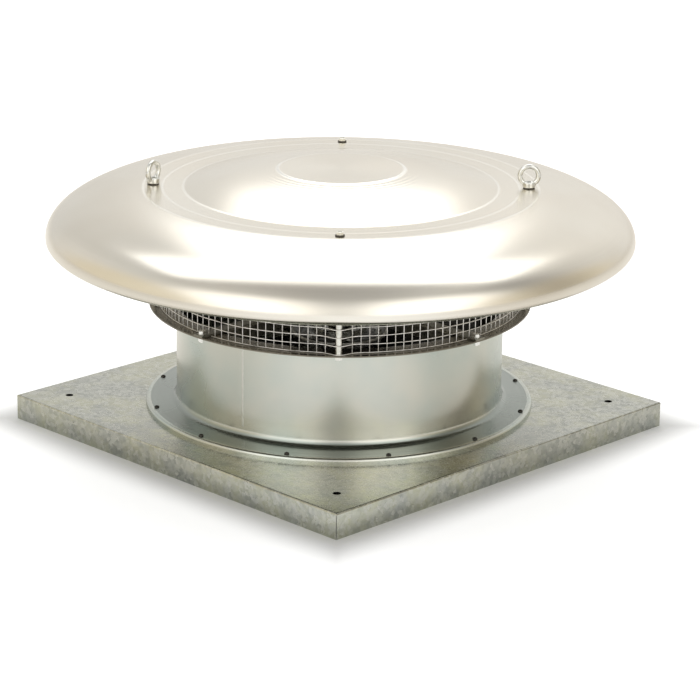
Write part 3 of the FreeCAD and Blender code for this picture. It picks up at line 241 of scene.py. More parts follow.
def finish_piece(piece, material, slot, body, *nodes, smooth=35):
    """Shades a piece, gives it its material, ties it to its body and hides the CAD nodes it stands for."""
    bpy.ops.object.select_all(action="DESELECT")
    piece.select_set(True)
    bpy.context.view_layer.objects.active = piece
    bpy.ops.object.shade_smooth_by_angle(angle=math.radians(smooth))
    piece.data.materials.clear()
    piece.data.materials.append(material)
    piece.select_set(False)
    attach(piece, body)
    if nodes:
        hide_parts(*nodes)


plate_zinc = galvanised_sheet("hot-dip galvanised sheet", "A0A39D", "B4B5A2", "CDCEC7",
                              0.006, 0.22, 0.0004)
finish_piece(plate, plate_zinc, "galvanised_sheet", "root", "base_plate")

# Curb seal
# A strip of closed-cell foam rubber stuck under the plate. It is dark, matt and finely pitted.


def rubber(name, tone, bloom, pit_size, pit_depth, roughness=0.75):
    """Black rubber. It hardly mirrors, and a faint grey bloom and fine pits show on its skin."""
    material, tree = empty_material(name)
    place = add_node(tree, "TexCoord").outputs["Object"]
    pits = add_node(tree, "TexNoise", {"Vector": place, "Scale": 1 / pit_size,
                                       "Detail": 2.0}).outputs["Fac"]
    dust = add_node(tree, "TexNoise", {"Vector": place, "Scale": 60.0, "Detail": 5.0}).outputs["Fac"]
    dusty = add_node(tree, "MapRange", {0: dust, 1: 0.4, 2: 0.75}).outputs[0]
    shade = add_node(tree, "Mix", {0: dusty, 6: colour(tone), 7: colour(bloom)},
                     data_type="RGBA").outputs[2]
    relief = add_node(tree, "Bump", {"Height": pits, "Distance": pit_depth}).outputs[0]
    skin = add_node(tree, "BsdfPrincipled", {"Base Color": shade, "Roughness": roughness, "IOR": 1.52,
                                             "Normal": relief})
    add_node(tree, "OutputMaterial", {"Surface": skin.outputs[0]})
    return material


def dress(material, *nodes):
    """Gives CAD pieces whose shape is right their finish."""
    for node in nodes:
        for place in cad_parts[node].material_slots:
            place.material = material


dress(rubber("closed-cell foam rubber", "1F2022", "34353A", 0.0009, 0.0002, 0.9), "curb_seal")

# Fan drum
# A tube rolled from galvanised sheet and butt welded, with a flange turned out at its top. Its foot
# is spun out to a wide flare, and the edge of the flare is turned down past a pressed crease.
drum_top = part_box("fan_drum")[1].z
drum_radius = 0.252
drum_wall = 0.002
flange_radius = 0.294
flange_bend = 0.004
flare_radius = 0.300
root_radius = 0.012
land_height = plate_top + 0.0075
land_inner = 0.283
land_ease = 0.003
shoulder_height = land_height + 0.007
bead_radius = 0.0045
bead_start = 108
crease_depth = 0.0003
drum_steps = 256
seam_turn = math.radians(-79.3)
seam_width = 0.0035
seam_height = 0.0005
seam_grain = 0.0004
drain_hole_radius = 0.002
drain_hole_height = plate_top + 0.024


def arc(centre, radius, first, last, count):
    """Points of an arc in the (radius, height) plane, with its angles in degrees."""
    turns = [math.radians(first + (last - first) * i / (count - 1)) for i in range(count)]
    return [(centre[0] + radius * math.cos(t), centre[1] + radius * math.sin(t)) for t in turns]


def spin_outline(name, outline, steps, closed=True):
    """Draws an outline of (radius, height) points and spins it about the fan axis. An outline
    that starts and ends on the axis stays open."""
    bpy.ops.object.select_all(action="DESELECT")
    bpy.ops.mesh.primitive_plane_add(size=0.001, location=(outline[0][0], 0, outline[0][1]))
    piece = start_piece(name)
    bpy.ops.object.mode_set(mode="EDIT")
    bpy.ops.mesh.select_mode(type="VERT")
    bpy.ops.mesh.select_all(action="SELECT")
    bpy.ops.mesh.merge(type="CENTER")
    last = outline[0]
    for point in outline[1:] + ([outline[0]] if closed else []):
        step = (point[0] - last[0], 0, point[1] - last[1])
        bpy.ops.mesh.extrude_vertices_move(TRANSFORM_OT_translate={"value": step})
        last = point
    bpy.ops.mesh.select_all(action="SELECT")
    bpy.ops.mesh.remove_doubles(threshold=0.00001)
    bpy.ops.mesh.spin(steps=steps, angle=2 * math.pi, center=(0, 0, 0), axis=(0, 0, 1))
    bpy.ops.mesh.select_all(action="SELECT")
    bpy.ops.mesh.remove_doubles(threshold=0.00001)
    bpy.ops.mesh.normals_make_consistent(inside=False)
    bpy.ops.object.mode_set(mode="OBJECT")
    return piece


flange_under = drum_top - drum_wall
wall_foot = shoulder_height + root_radius / 2
slope = math.degrees(math.atan2(shoulder_height - land_height, land_inner - drum_radius))
bead_centre = (flare_radius - bead_radius, land_height - bead_radius)
crease = bead_centre[0] - bead_radius
outside = [(flange_radius, drum_top), (flange_radius, flange_under)]
outside += arc((drum_radius + flange_bend, flange_under - flange_bend), flange_bend, 90, 180, 6)
wall_rise = flange_under - flange_bend - wall_foot
outside += [(drum_radius, wall_foot + wall_rise * i / 8) for i in range(7, 0, -1)]
outside += arc((drum_radius + root_radius, wall_foot), root_radius, 180, 270 - slope, 9)
outside += [(land_inner - land_ease, land_height + 0.3 * land_ease),
            (land_inner, land_height + 0.1 * land_ease), (land_inner + land_ease, land_height),
            (crease - land_ease, land_height), (crease - 0.4 * land_ease, land_height - 0.35 * crease_depth),
            (crease, land_height - crease_depth)]
outside += arc(bead_centre, bead_radius, bead_start, 0, 12) + [(flare_radius, plate_top)]
under = land_height - crease_depth - drum_wall
inside = [(flare_radius - drum_wall, plate_top)] + arc(bead_centre, bead_radius - drum_wall, 0, 90, 6)
inside += [(crease - land_ease, under), (land_inner, under)]
inside += arc((drum_radius + root_radius, wall_foot), root_radius + drum_wall, 270 - slope, 180, 9)
inside += arc((drum_radius + flange_bend, flange_under - flange_bend), flange_bend + drum_wall,
              180, 90, 7)
drum = spin_outline("fan_drum_shell", outside + inside, drum_steps)
drains = []
for turn in (math.radians(45), math.radians(225)):
    drain_place = (math.cos(turn) * drum_radius, math.sin(turn) * drum_radius, drain_hole_height)
    drains.append(drill(drain_hole_radius, cutter_depth, drain_place, 24, (0, math.pi / 2, turn)))
combine(drum, drains, "DIFFERENCE")

seam_low = wall_foot + 0.004
seam_high = flange_under - flange_bend
bpy.ops.object.select_all(action="DESELECT")
bpy.ops.mesh.primitive_cube_add(size=1, scale=(4 * seam_height, seam_width, seam_high - seam_low),
                                location=(drum_radius - seam_height, 0, (seam_low + seam_high) / 2))
seam = start_piece("drum_seam_weld")
pick_edges(seam, lambda a, b: min(a.x, b.x) > drum_radius)
bpy.ops.mesh.bevel(offset=seam_grain, segments=3, affect="EDGES")
bpy.ops.object.mode_set(mode="OBJECT")
apply_modifier(seam, "REMESH", mode="VOXEL", voxel_size=seam_grain)
weld_ripple = bpy.data.textures.new("weld_ripple", "CLOUDS")
weld_ripple.noise_scale = 0.006
apply_modifier(seam, "DISPLACE", texture=weld_ripple, strength=0.0005, mid_level=0.5,
               texture_coords="LOCAL")
seam.data.transform(Matrix.Rotation(seam_turn, 4, "Z"))


def burnished_zinc(name, wall, cool, flare, flange, roughness):
    """Galvanised sheet after rolling and spinning. The tools have wiped the spangle to a soft satin
    with faint cool and warm clouds. The flare is painted darker and bluer, which is painted shade for
    the dark drum wall and plate it mirrors, and the flange is painted a dull brown, which is the cowl's
    painted shadow."""
    material, tree = empty_material(name)
    place = add_node(tree, "TexCoord").outputs["Object"]
    flat = add_node(tree, "VectorMath", {0: place, 1: (1, 1, 0)}, operation="MULTIPLY").outputs[0]
    radius = add_node(tree, "VectorMath", {0: flat}, operation="LENGTH").outputs["Value"]
    height = add_node(tree, "SeparateXYZ", {0: place}).outputs[2]
    cloud = add_node(tree, "TexNoise", {"Vector": place, "Scale": 7.0, "Detail": 3.0}).outputs["Fac"]
    cloudy = add_node(tree, "MapRange", {0: cloud, 1: 0.38, 2: 0.66}).outputs[0]
    tone = add_node(tree, "Mix", {0: cloudy, 6: colour(cool), 7: colour(wall)},
                    data_type="RGBA").outputs[2]
    # Painted shade: the flare round the drum's foot is darker and bluer, standing in for the dark drum wall
    # and plate it mirrors.
    low = add_node(tree, "MapRange", {0: height, 1: shoulder_height + 0.004, 2: shoulder_height,
                                      4: 1.0}).outputs[0]
    inner = add_node(tree, "MapRange", {0: radius, 1: crease + 0.002, 2: crease + 0.001,
                                        4: 1.0}).outputs[0]
    painted_foot_shade = add_node(tree, "Math", {0: low, 1: inner}, operation="MULTIPLY").outputs[0]
    tone = add_node(tree, "Mix", {0: painted_foot_shade, 6: tone, 7: colour(flare)}, data_type="RGBA").outputs[2]
    # Painted shadow: the flange under the cowl is a dull brown, standing in for the cowl's shadow on it.
    high = add_node(tree, "MapRange", {0: height, 1: flange_under - 0.002, 2: flange_under,
                                       4: 1.0}).outputs[0]
    tone = add_node(tree, "Mix", {0: high, 6: tone, 7: colour(flange)}, data_type="RGBA").outputs[2]
    pores = add_node(tree, "TexNoise", {"Vector": place, "Scale": 900.0, "Detail": 3.0}).outputs["Fac"]
    relief = add_node(tree, "Bump", {"Height": pores, "Distance": 0.000006}).outputs[0]
    dents = add_node(tree, "TexNoise", {"Vector": place, "Scale": 11.0, "Detail": 1.0}).outputs["Fac"]
    relief = add_node(tree, "Bump", {"Height": dents, "Distance": 0.0002, "Normal": relief}).outputs[0]
    dull = add_node(tree, "MapRange", {0: cloudy, 3: roughness + 0.03, 4: roughness - 0.03}).outputs[0]
    zinc = add_node(tree, "BsdfPrincipled", {"Base Color": tone, "Metallic": 1.0, "Roughness": dull,
                                             "Normal": relief})
    add_node(tree, "OutputMaterial", {"Surface": zinc.outputs[0]})
    return material


# The last two colours are painted shade on the flare and the cowl's painted shadow on the flange.
drum_zinc = burnished_zinc("galvanised sheet, spun and burnished", "C8C7BD", "B8C0BA", "949B96",
                           "757064", 0.25)
finish_piece(drum, drum_zinc, "galvanised_sheet", "root", "fan_drum", smooth=40)


def plated_steel(name, tone, shade, cloud_size, roughness, depth):
    """Zinc-plated or turned steel. The plating is bright and a little cloudy, with fine scratches
    and pores that blur its highlights."""
    material, tree = empty_material(name)
    place = add_node(tree, "TexCoord").outputs["Object"]
    cloud = add_node(tree, "TexNoise", {"Vector": place, "Scale": 1 / cloud_size,
                                        "Detail": 4.0}).outputs["Fac"]
    cloudy = add_node(tree, "MapRange", {0: cloud, 1: 0.3, 2: 0.7}).outputs[0]
    pores = add_node(tree, "TexNoise", {"Vector": place, "Scale": 12 / cloud_size,
                                        "Detail": 3.0}).outputs["Fac"]
    metal = add_node(tree, "Mix", {0: cloudy, 6: colour(shade), 7: colour(tone)},
                     data_type="RGBA").outputs[2]
    dull = add_node(tree, "MapRange", {0: cloud, 1: 0.3, 2: 0.7, 3: roughness + 0.06,
                                       4: roughness - 0.04}).outputs[0]
    relief = add_node(tree, "Bump", {"Height": pores, "Distance": depth}).outputs[0]
    plating = add_node(tree, "BsdfPrincipled", {"Base Color": metal, "Metallic": 1.0, "Roughness": dull,
                                                "Normal": relief})
    add_node(tree, "OutputMaterial", {"Surface": plating.outputs[0]})
    return material


finish_piece(seam, plated_steel("weld seam, ground bright", "D6D7D0", "C3C4BD", 0.004, 0.30, 0.00003),
             "galvanised_sheet", "root", smooth=60)

# Drum seal and rivets
# A butyl ring lies squeezed under the flare. Twelve domed blind rivets of steel go through both,
# each with the snapped end of its mandrel in the middle of its head. Their heads are painted dark,
# which is painted reflection of the dark drum wall round them.
rivet_circle = 0.2885
rivet_count = 12
rivet_radius = 0.00375
rivet_height = 0.0026
rivet_shank = 0.002
head_edge = 0.0004
mandrel_radius = 0.0011
mandrel_sink = 0.0009
mandrel_groove = 0.0014
rivet_tail_radius = 0.0032
rivet_tail_height = 0.0018

dome_top = land_height + rivet_height
rivet_outline = [(0, dome_top - mandrel_sink), (mandrel_radius * 0.7, dome_top - mandrel_sink - 0.0001),
                 (mandrel_radius, dome_top - mandrel_groove)]
for i in range(8):
    t = math.pi / 2 * i / 7
    rivet_outline.append((mandrel_radius + (rivet_radius - mandrel_radius) * math.sin(t),
                          land_height + head_edge + (rivet_height - head_edge) * math.cos(t)))
plate_under = plate_top - sheet_wall
rivet_foot = plate_under - rivet_tail_height
rivet_outline += [(rivet_radius, land_height), (rivet_shank, land_height), (rivet_shank, plate_under),
                  (rivet_tail_radius, plate_under),
                  (rivet_tail_radius, plate_under - 0.7 * rivet_tail_height),
                  (0.6 * rivet_tail_radius, rivet_foot), (0, rivet_foot)]
rivet = spin_outline("rivet", rivet_outline, 20, closed=False)


def repeat(model, name, places):
    """Copies a modelled part to each place, joins the copies and drops the model."""
    copies = []
    for place in places:
        part = model.copy()
        part.data = model.data.copy()
        part.data.transform(place)
        bpy.context.scene.collection.objects.link(part)
        copies.append(part)
    bpy.data.objects.remove(model)
    return join_pieces(copies, name)


def round_axis(radius, angles):
    """Places on a circle round the fan axis, each turned to face outwards."""
    return [Matrix.Rotation(math.radians(angle), 4, "Z") @ Matrix.Translation((radius, 0, 0))
            for angle in angles]


rivets = repeat(rivet, "drum_rivet_set", round_axis(rivet_circle, range(0, 360, 360 // rivet_count)))
# Painted reflection: the rivet heads are dark, standing in for the dark drum wall they mirror.
finish_piece(rivets, plated_steel("rivet steel, painted dark for mirrored shade", "504E49", "35332F", 0.003, 0.45, 0.00003),
             "rivet_steel", "root", "drum_rivets")
dress(rubber("butyl sealing strip", "17181A", "26272A", 0.002, 0.0003), "drum_seal")

# Motor support
# Four arms folded from 3 mm galvanised sheet, bolted on the drum's flange, and a thick disc on them
# that carries the motor. Zinc-plated M6 bolts with nuts and flat washers hold the arms and the disc,
# and four M8 screws hold the motor.
# Painted shade: the arms' zinc is much darker than zinc is, standing in for the dark space under the cowl.
thick_zinc_painted_shade = galvanised_sheet("thick galvanised sheet, painted dark for shade", "76746A", "85837A", "9A988E",
                              0.006, 0.44, 0.0002)
bolt_zinc = plated_steel("bright zinc-plated fastener steel", "EDEDE9", "D9D9D3", 0.004, 0.26, 0.00002)
dress(thick_zinc_painted_shade, "support_arms")
dress(bolt_zinc, "arm_bolts", "arm_nuts", "small_washers", "motor_screws")

# Motor
# A closed, finned aluminium motor stands on the disc, and both are enamelled near-black, which is
# painted shade for the dark space under the cowl. Its shaft hangs down through the disc in two ball
# bearings, and its terminal box is moulded and black.


def enamel(name, tone, shade, roughness):
    """Sprayed stoving enamel on cast aluminium. It has a soft gloss over a fine orange peel, and
    the casting's grain shows through faintly."""
    material, tree = empty_material(name)
    place = add_node(tree, "TexCoord").outputs["Object"]
    peel = add_node(tree, "TexNoise", {"Vector": place, "Scale": 700.0, "Detail": 2.0}).outputs["Fac"]
    grime = add_node(tree, "TexNoise", {"Vector": place, "Scale": 25.0, "Detail": 6.0}).outputs["Fac"]
    grimy = add_node(tree, "MapRange", {0: grime, 1: 0.4, 2: 0.8}).outputs[0]
    paint = add_node(tree, "Mix", {0: grimy, 6: colour(tone), 7: colour(shade)},
                     data_type="RGBA").outputs[2]
    relief = add_node(tree, "Bump", {"Height": peel, "Distance": 0.00008}).outputs[0]
    coat = add_node(tree, "BsdfPrincipled", {"Base Color": paint, "Roughness": roughness, "IOR": 1.5,
                                             "Normal": relief})
    add_node(tree, "OutputMaterial", {"Surface": coat.outputs[0]})
    return material


# Painted shade: the disc and motor are near-black, standing in for the dark space under the cowl.
dress(enamel("stoving enamel, painted near-black for shade", "2A2826", "211F1D", 0.5),
      "mount_disc", "motor_housing", "motor_lower_end_shield", "motor_upper_end_shield")
turned_steel = plated_steel("turned shaft steel, lightly oiled", "B4B4B2", "96968F", 0.006, 0.24, 0.00002)
ground_steel = plated_steel("ground bearing steel", "D0D0D0", "BEBEBE", 0.01, 0.10, 0.000005)
dress(bolt_zinc, "motor_tie_rods", "lid_screws", "box_fixing_screws")
dress(turned_steel, "motor_shaft", "shaft_key", "hub_boss", "retainer_disc", "bearing_spring")
dress(ground_steel, "lower_bearing_outer_ring", "lower_bearing_inner_ring", "lower_bearing_balls",
      "upper_bearing_outer_ring", "upper_bearing_inner_ring", "upper_bearing_balls")
dress(plated_steel("pressed bearing cage steel", "B9B5A6", "9B988B", 0.004, 0.30, 0.00002),
      "lower_bearing_cage", "upper_bearing_cage")
dress(rubber("moulded nitrile rubber", "151515", "222222", 0.0008, 0.00005, 0.6),
      "shaft_vee_seal", "terminal_box_seal", "gland_seal")


def layered_metal(name, tone, shade, pitch, depth, roughness, coat):
    """Metal in thin layers that lie on each other along the axis, as steel laminations or a copper
    winding's wires do. The eye sees fine level lines, each catching its own glint."""
    material, tree = empty_material(name)
    place = add_node(tree, "TexCoord").outputs["Object"]
    layers = add_node(tree, "TexWave", {"Vector": place, "Scale": math.pi / 10 / pitch, "Distortion": 0.6,
                                        "Detail": 2.0}, bands_direction="Z").outputs["Fac"]
    metal = add_node(tree, "Mix", {0: layers, 6: colour(shade), 7: colour(tone)},
                     data_type="RGBA").outputs[2]
    relief = add_node(tree, "Bump", {"Height": layers, "Distance": depth}).outputs[0]
    stack = add_node(tree, "BsdfPrincipled", {"Base Color": metal, "Metallic": 1.0,
                                              "Roughness": roughness, "Coat Weight": coat,
                                              "Coat Roughness": 0.15, "Normal": relief})
    add_node(tree, "OutputMaterial", {"Surface": stack.outputs[0]})
    return material


dress(layered_metal("laminated electrical steel", "7E8288", "55585E", 0.0012, 0.0001, 0.42, 0.0),
      "stator_core", "rotor_core")
dress(layered_metal("lacquered copper wire", "B8672F", "7E3F18", 0.0011, 0.0003, 0.30, 0.6),
      "stator_windings")
cast_aluminium = plated_steel("die-cast aluminium, bare", "C4C4C2", "A8A8A5", 0.002, 0.45, 0.00008)
dress(cast_aluminium, "rotor_end_rings")


def moulded_plastic(name, tone, shade, grain, roughness):
    """Moulded plastic with the fine spark-eroded grain of its mould, which breaks up the gloss."""
    material, tree = empty_material(name)
    place = add_node(tree, "TexCoord").outputs["Object"]
    spark = add_node(tree, "TexNoise", {"Vector": place, "Scale": 1 / grain,
                                        "Detail": 2.0}).outputs["Fac"]
    flow = add_node(tree, "TexNoise", {"Vector": place, "Scale": 30.0, "Detail": 3.0,
                                       "Distortion": 1.5}).outputs["Fac"]
    mixed = add_node(tree, "MapRange", {0: flow, 1: 0.35, 2: 0.7}).outputs[0]
    tint = add_node(tree, "Mix", {0: mixed, 6: colour(tone), 7: colour(shade)},
                    data_type="RGBA").outputs[2]
    relief = add_node(tree, "Bump", {"Height": spark, "Distance": 0.00004}).outputs[0]
    skin = add_node(tree, "BsdfPrincipled", {"Base Color": tint, "Roughness": roughness, "IOR": 1.5,
                                             "Normal": relief})
    add_node(tree, "OutputMaterial", {"Surface": skin.outputs[0]})
    return material


dress(moulded_plastic("black thermoset moulding", "2A2826", "35322F", 0.0006, 0.5),
      "terminal_box", "terminal_box_lid", "terminal_block")
dress(moulded_plastic("black nylon", "1A1A1B", "232324", 0.0005, 0.42),
      "gland_body", "gland_locknut", "gland_nut")
dress(plated_steel("machined brass", "D9B876", "BF9A55", 0.004, 0.22, 0.00002), "terminal_studs")

# Impeller
# Six blades moulded in glass-filled nylon are clamped by their round roots between the two halves
# of a die-cast hub, which is keyed to the motor shaft by a turned boss.
dress(moulded_plastic("glass-filled nylon", "1E1E1E", "272726", 0.0008, 0.5), "impeller_blades")
dress(cast_aluminium, "hub_lower_half", "hub_upper_half")
dress(bolt_zinc, "boss_screws", "clamp_bolts", "clamp_nuts", "retainer_bolt")

# Bird guard
# Welded mesh of 1.4 mm galvanised wire on a 12.7 mm pitch. It stands on the flange as a ring and
# bulges out round each post. The uprights are welded on inside the hoops, so each crossing has a
# small nugget, and the wires are never quite straight.
wire_radius = 0.0007
guard_circle = 0.279
bulge_height = 0.013
bulge_width = 0.016
mesh_pitch = 0.0127
hoop_count = 14
hoop_steps = 272
upright_count = 136
nugget_radius = 0.00105
weld_bite = 0.00015
long_sway = 0.00035
short_sway = 0.0002
wire_lean = 0.0005
guard_foot = drum_top + 0.0003
first_hoop = guard_foot + wire_radius
upright_top = first_hoop + (hoop_count - 1) * mesh_pitch + wire_radius
tab_half_width = 0.0101
tab_top = drum_top + 0.0034


def guard_radius(angle):
    """How far the guard stands from the axis: a circle, with a bulge round each post."""
    off = angle % (math.pi / 2) - math.pi / 4
    return guard_circle + bulge_height * math.exp(-(off * guard_circle / bulge_width) ** 2)


def over_tab(place):
    """Says whether a place lies over the tab of one of the four arms."""
    return min(abs(place.x), abs(place.y)) < tab_half_width


hoops = []
for row in range(hoop_count):
    bpy.ops.object.select_all(action="DESELECT")
    bpy.ops.mesh.primitive_circle_add(vertices=hoop_steps, radius=guard_circle)
    hoop = start_piece("hoop")
    for corner in hoop.data.vertices:
        turn = math.atan2(corner.co.y, corner.co.x)
        reach = guard_radius(turn)
        sway = long_sway * math.sin(9 * turn + 2.1 * row) + short_sway * math.sin(23 * turn - row)
        height = first_hoop + row * mesh_pitch + (sway if row else 0.0)
        corner.co = (reach * math.cos(turn), reach * math.sin(turn), height)
    bpy.ops.object.convert(target="CURVE")
    hoop.data.dimensions = "3D"
    hoop.data.fill_mode = "FULL"
    hoop.data.bevel_depth = wire_radius
    hoop.data.bevel_resolution = 1
    bpy.ops.object.convert(target="MESH")
    if row == 0:
        pick_faces(hoop, lambda middle, normal: over_tab(middle))
        bpy.ops.mesh.delete(type="FACE")
        bpy.ops.mesh.select_all(action="SELECT")
        bpy.ops.mesh.fill_holes(sides=12)
        bpy.ops.object.mode_set(mode="OBJECT")
    hoops.append(hoop)

uprights = []
crossings = []
for number in range(upright_count):
    turn = 2 * math.pi * (number + 0.5) / upright_count
    reach = guard_radius(turn) - 2 * wire_radius + weld_bite
    if reach > guard_circle + 0.6 * bulge_height:
        continue
    foot = Vector((reach * math.cos(turn), reach * math.sin(turn), guard_foot))
    if over_tab(foot):
        foot.z = tab_top
    bpy.ops.object.select_all(action="DESELECT")
    bpy.ops.mesh.primitive_cylinder_add(vertices=6, radius=wire_radius, depth=upright_top - foot.z,
                                        location=(foot.x, foot.y, (foot.z + upright_top) / 2))
    upright = start_piece("upright")
    lean = wire_lean * math.sin(5.3 * number)
    for corner in upright.data.vertices:
        if corner.co.z > upright_top - 0.001:
            corner.co.x -= lean * math.sin(turn)
            corner.co.y += lean * math.cos(turn)
    uprights.append(upright)
    for row in range(hoop_count):
        height = first_hoop + row * mesh_pitch
        if height > foot.z:
            weld = reach + wire_radius
            crossings.append(Matrix.Translation((weld * math.cos(turn), weld * math.sin(turn), height)))

bpy.ops.object.select_all(action="DESELECT")
bpy.ops.mesh.primitive_ico_sphere_add(subdivisions=1, radius=nugget_radius)
nuggets = repeat(start_piece("nugget"), "nuggets", crossings)
wire_zinc = plated_steel("galvanised wire", "EFEDE8", "D8D5D0", 0.008, 0.42, 0.00005)
finish_piece(join_pieces(hoops + [nuggets], "guard_hoop_wires"), wire_zinc, "galvanised_wire", "root",
             "guard_hoops", smooth=60)
finish_piece(join_pieces(uprights, "guard_upright_wires"), wire_zinc, "galvanised_wire", "root",
             "guard_uprights", smooth=60)

# Cowl posts
# Four turned steel posts, zinc-plated, are screwed on the drum's flange from below. The threaded end
# of each comes up through the cowl.
dress(plated_steel("zinc-plated turned post steel", "DEDDD6", "C2C1B8", 0.012, 0.24, 0.00002),
      "cowl_posts")
dress(bolt_zinc, "post_screws")

# Cowl
# The weather cowl, spun from one disc of 1.5 mm aluminium: a flat centre, a shallow dome, a flat
# band for the posts and a full outer dome whose edge is turned under.
cowl_radius = 0.450
cowl_wall = 0.0015
disc_radius = 0.095
disc_height = plate_top + 0.3695
disc_step = 0.0015
disc_step_width = 0.004
dome_sag = 0.0035
band_height = plate_top + 0.3415
band_inner = 0.240
band_middle = 0.272
band_outer = 0.301
widest_height = plate_top + 0.267
shoulder_fall = 0.2
rim_reach = 0.032
rim_drop = 0.0155
ridge_height = 0.0003
ridge_half_width = 0.0018
ring_pitch = 0.008
ring_depth = 0.00018
ring_end = 0.145
cowl_steps = 240
post_circle = 0.286
post_angles = (45, 135, 225, 315)
stud_hole_radius = 0.00325


def ridge(radius, middle):
    """Height of the small ridge that the spinning roller leaves at a bend."""
    off = (radius - middle) / ridge_half_width
    return ridge_height * math.cos(off * math.pi / 2) ** 2 if abs(off) < 1 else 0.0


def cowl_skin(inset, detail):
    """The cowl's outside from the axis to the edge of its rim, or its inside at an inset."""
    top = disc_height - inset
    foot = disc_radius + disc_step_width
    points = [(0.0, top), (0.5 * disc_radius, top), (disc_radius - 0.0015, top)]
    for i in range(5):
        t = i / 4
        points.append((disc_radius + t * disc_step_width, top - disc_step * (3 * t * t - 2 * t ** 3)))
    fall = top - disc_step - (band_height - inset)
    for i in range(1, 24 * detail + 1):
        t = i / (24 * detail)
        radius = foot + (band_inner - foot) * t
        height = top - disc_step - fall * t + 4 * dome_sag * t * (1 - t)
        fade = max(0.0, 1 - (radius - foot) / (ring_end - foot))
        height += ring_depth * fade * math.cos(2 * math.pi * (radius - foot) / ring_pitch)
        points.append((radius, height + ridge(radius, band_inner)))
    for i in range(1, 8 * detail):
        radius = band_inner + (band_outer - band_inner) * i / (8 * detail)
        bends = ridge(radius, band_inner) + ridge(radius, band_middle) + ridge(radius, band_outer)
        points.append((radius, band_height - inset + bends))
    reach = cowl_radius - inset - band_outer
    rise = band_height - inset - widest_height
    for i in range(14 * detail + 1):
        t = math.pi / 2 * i / (14 * detail)
        share = math.sin(t)
        radius = band_outer + reach * share
        height = widest_height + rise * (math.cos(t) - shoulder_fall * share * (1 - share))
        points.append((radius, height + ridge(radius, band_outer)))
    edge = cowl_radius - rim_reach
    for i in range(1, 4 * detail + 1):
        t = math.pi / 2 * i / (4 * detail)
        points.append((edge + (rim_reach - inset) * math.cos(t),
                       widest_height - (rim_drop - inset) * math.sin(t)))
    return points


cowl_outline = cowl_skin(0.0, 3) + cowl_skin(cowl_wall, 1)[::-1]
cowl = spin_outline("spun_cowl", cowl_outline, cowl_steps, closed=False)
stud_holes = []
for turn in (math.radians(angle) for angle in post_angles):
    stud_place = (post_circle * math.cos(turn), post_circle * math.sin(turn), band_height)
    stud_holes.append(drill(stud_hole_radius, cutter_depth, stud_place, 32))
combine(cowl, stud_holes, "DIFFERENCE")


def spun_aluminium(name, tone, shade, bend_highlight, line_pitch, roughness):
    """Spun aluminium sheet, left bare. The roller leaves fine rings round the axis, which draw
    highlights out across them into broad fans. A bright line is painted round each bend, brightest at
    the centre disc's step, as painted highlight for the light the bends catch. Handling leaves a soft,
    warm haze. The rings are 1.6 mm apart, as fine as the picture can show."""
    material, tree = empty_material(name)
    place = add_node(tree, "TexCoord").outputs["Object"]
    flat = add_node(tree, "VectorMath", {0: place, 1: (1, 1, 0)}, operation="MULTIPLY").outputs[0]
    radius = add_node(tree, "VectorMath", {0: flat}, operation="LENGTH").outputs["Value"]
    height = add_node(tree, "SeparateXYZ", {0: place}).outputs[2]
    around = add_node(tree, "CombineXYZ", {0: radius, 2: height}).outputs[0]
    rings = add_node(tree, "TexNoise", {"Vector": around, "Scale": 1 / line_pitch, "Detail": 3.0,
                                        "Roughness": 0.6}).outputs["Fac"]
    haze = add_node(tree, "TexNoise", {"Vector": place, "Scale": 5.0, "Detail": 3.0}).outputs["Fac"]
    hazy = add_node(tree, "MapRange", {0: haze, 1: 0.35, 2: 0.7}).outputs[0]
    metal = add_node(tree, "Mix", {0: hazy, 6: colour(shade), 7: colour(tone)},
                     data_type="RGBA").outputs[2]
    lines = add_node(tree, "MapRange", {0: rings, 1: 0.3, 2: 0.7, 3: 0.975, 4: 1.0}).outputs[0]
    metal = add_node(tree, "Mix", {0: 1.0, 6: metal, 7: lines}, data_type="RGBA",
                     blend_type="MULTIPLY").outputs[2]
    # Painted highlight: each bend gets a bright line in the colour, strongest at the centre disc's step.
    for bend, reach, share in ((disc_radius + disc_step_width / 2, 0.0045, 1.0), (band_inner, 0.003, 0.5),
                               (band_middle, 0.003, 0.5), (band_outer, 0.003, 0.5)):
        off = add_node(tree, "Math", {0: radius, 1: bend}, operation="SUBTRACT").outputs[0]
        off = add_node(tree, "Math", {0: off}, operation="ABSOLUTE").outputs[0]
        painted_bend_highlight = add_node(tree, "MapRange", {0: off, 1: 0.0005, 2: reach, 3: share, 4: 0.0}).outputs[0]
        metal = add_node(tree, "Mix", {0: painted_bend_highlight, 6: metal, 7: colour(bend_highlight)},
                         data_type="RGBA").outputs[2]
    dull = add_node(tree, "MapRange", {0: hazy, 3: roughness + 0.03, 4: roughness - 0.02}).outputs[0]
    relief = add_node(tree, "Bump", {"Height": rings, "Distance": 0.000003}).outputs[0]
    turning = add_node(tree, "Tangent", direction_type="RADIAL", axis="Z").outputs[0]
    skin = add_node(tree, "BsdfPrincipled", {"Base Color": metal, "Metallic": 1.0, "Roughness": dull,
                                             "Anisotropic": 0.35, "Tangent": turning, "Normal": relief})
    add_node(tree, "OutputMaterial", {"Surface": skin.outputs[0]})
    return material


finish_piece(cowl, spun_aluminium("spun aluminium, bare", "E7E3D9", "E1DBCF", "FBFAF5", 0.0016, 0.23),
             "spun_aluminium", "root", "cowl", smooth=25)

# Cowl washers and nuts
# A dark rubber washer seals each post's hole in the cowl. Zinc-plated M6 nuts hold it down at the
# front and rear posts.
stud_radius = 0.00302
nut_across_flats = 0.010
nut_height = 0.005
nut_seat = band_height + 0.0015
nut_corner = nut_across_flats / math.sqrt(3)
nut_face = 0.47 * nut_across_flats

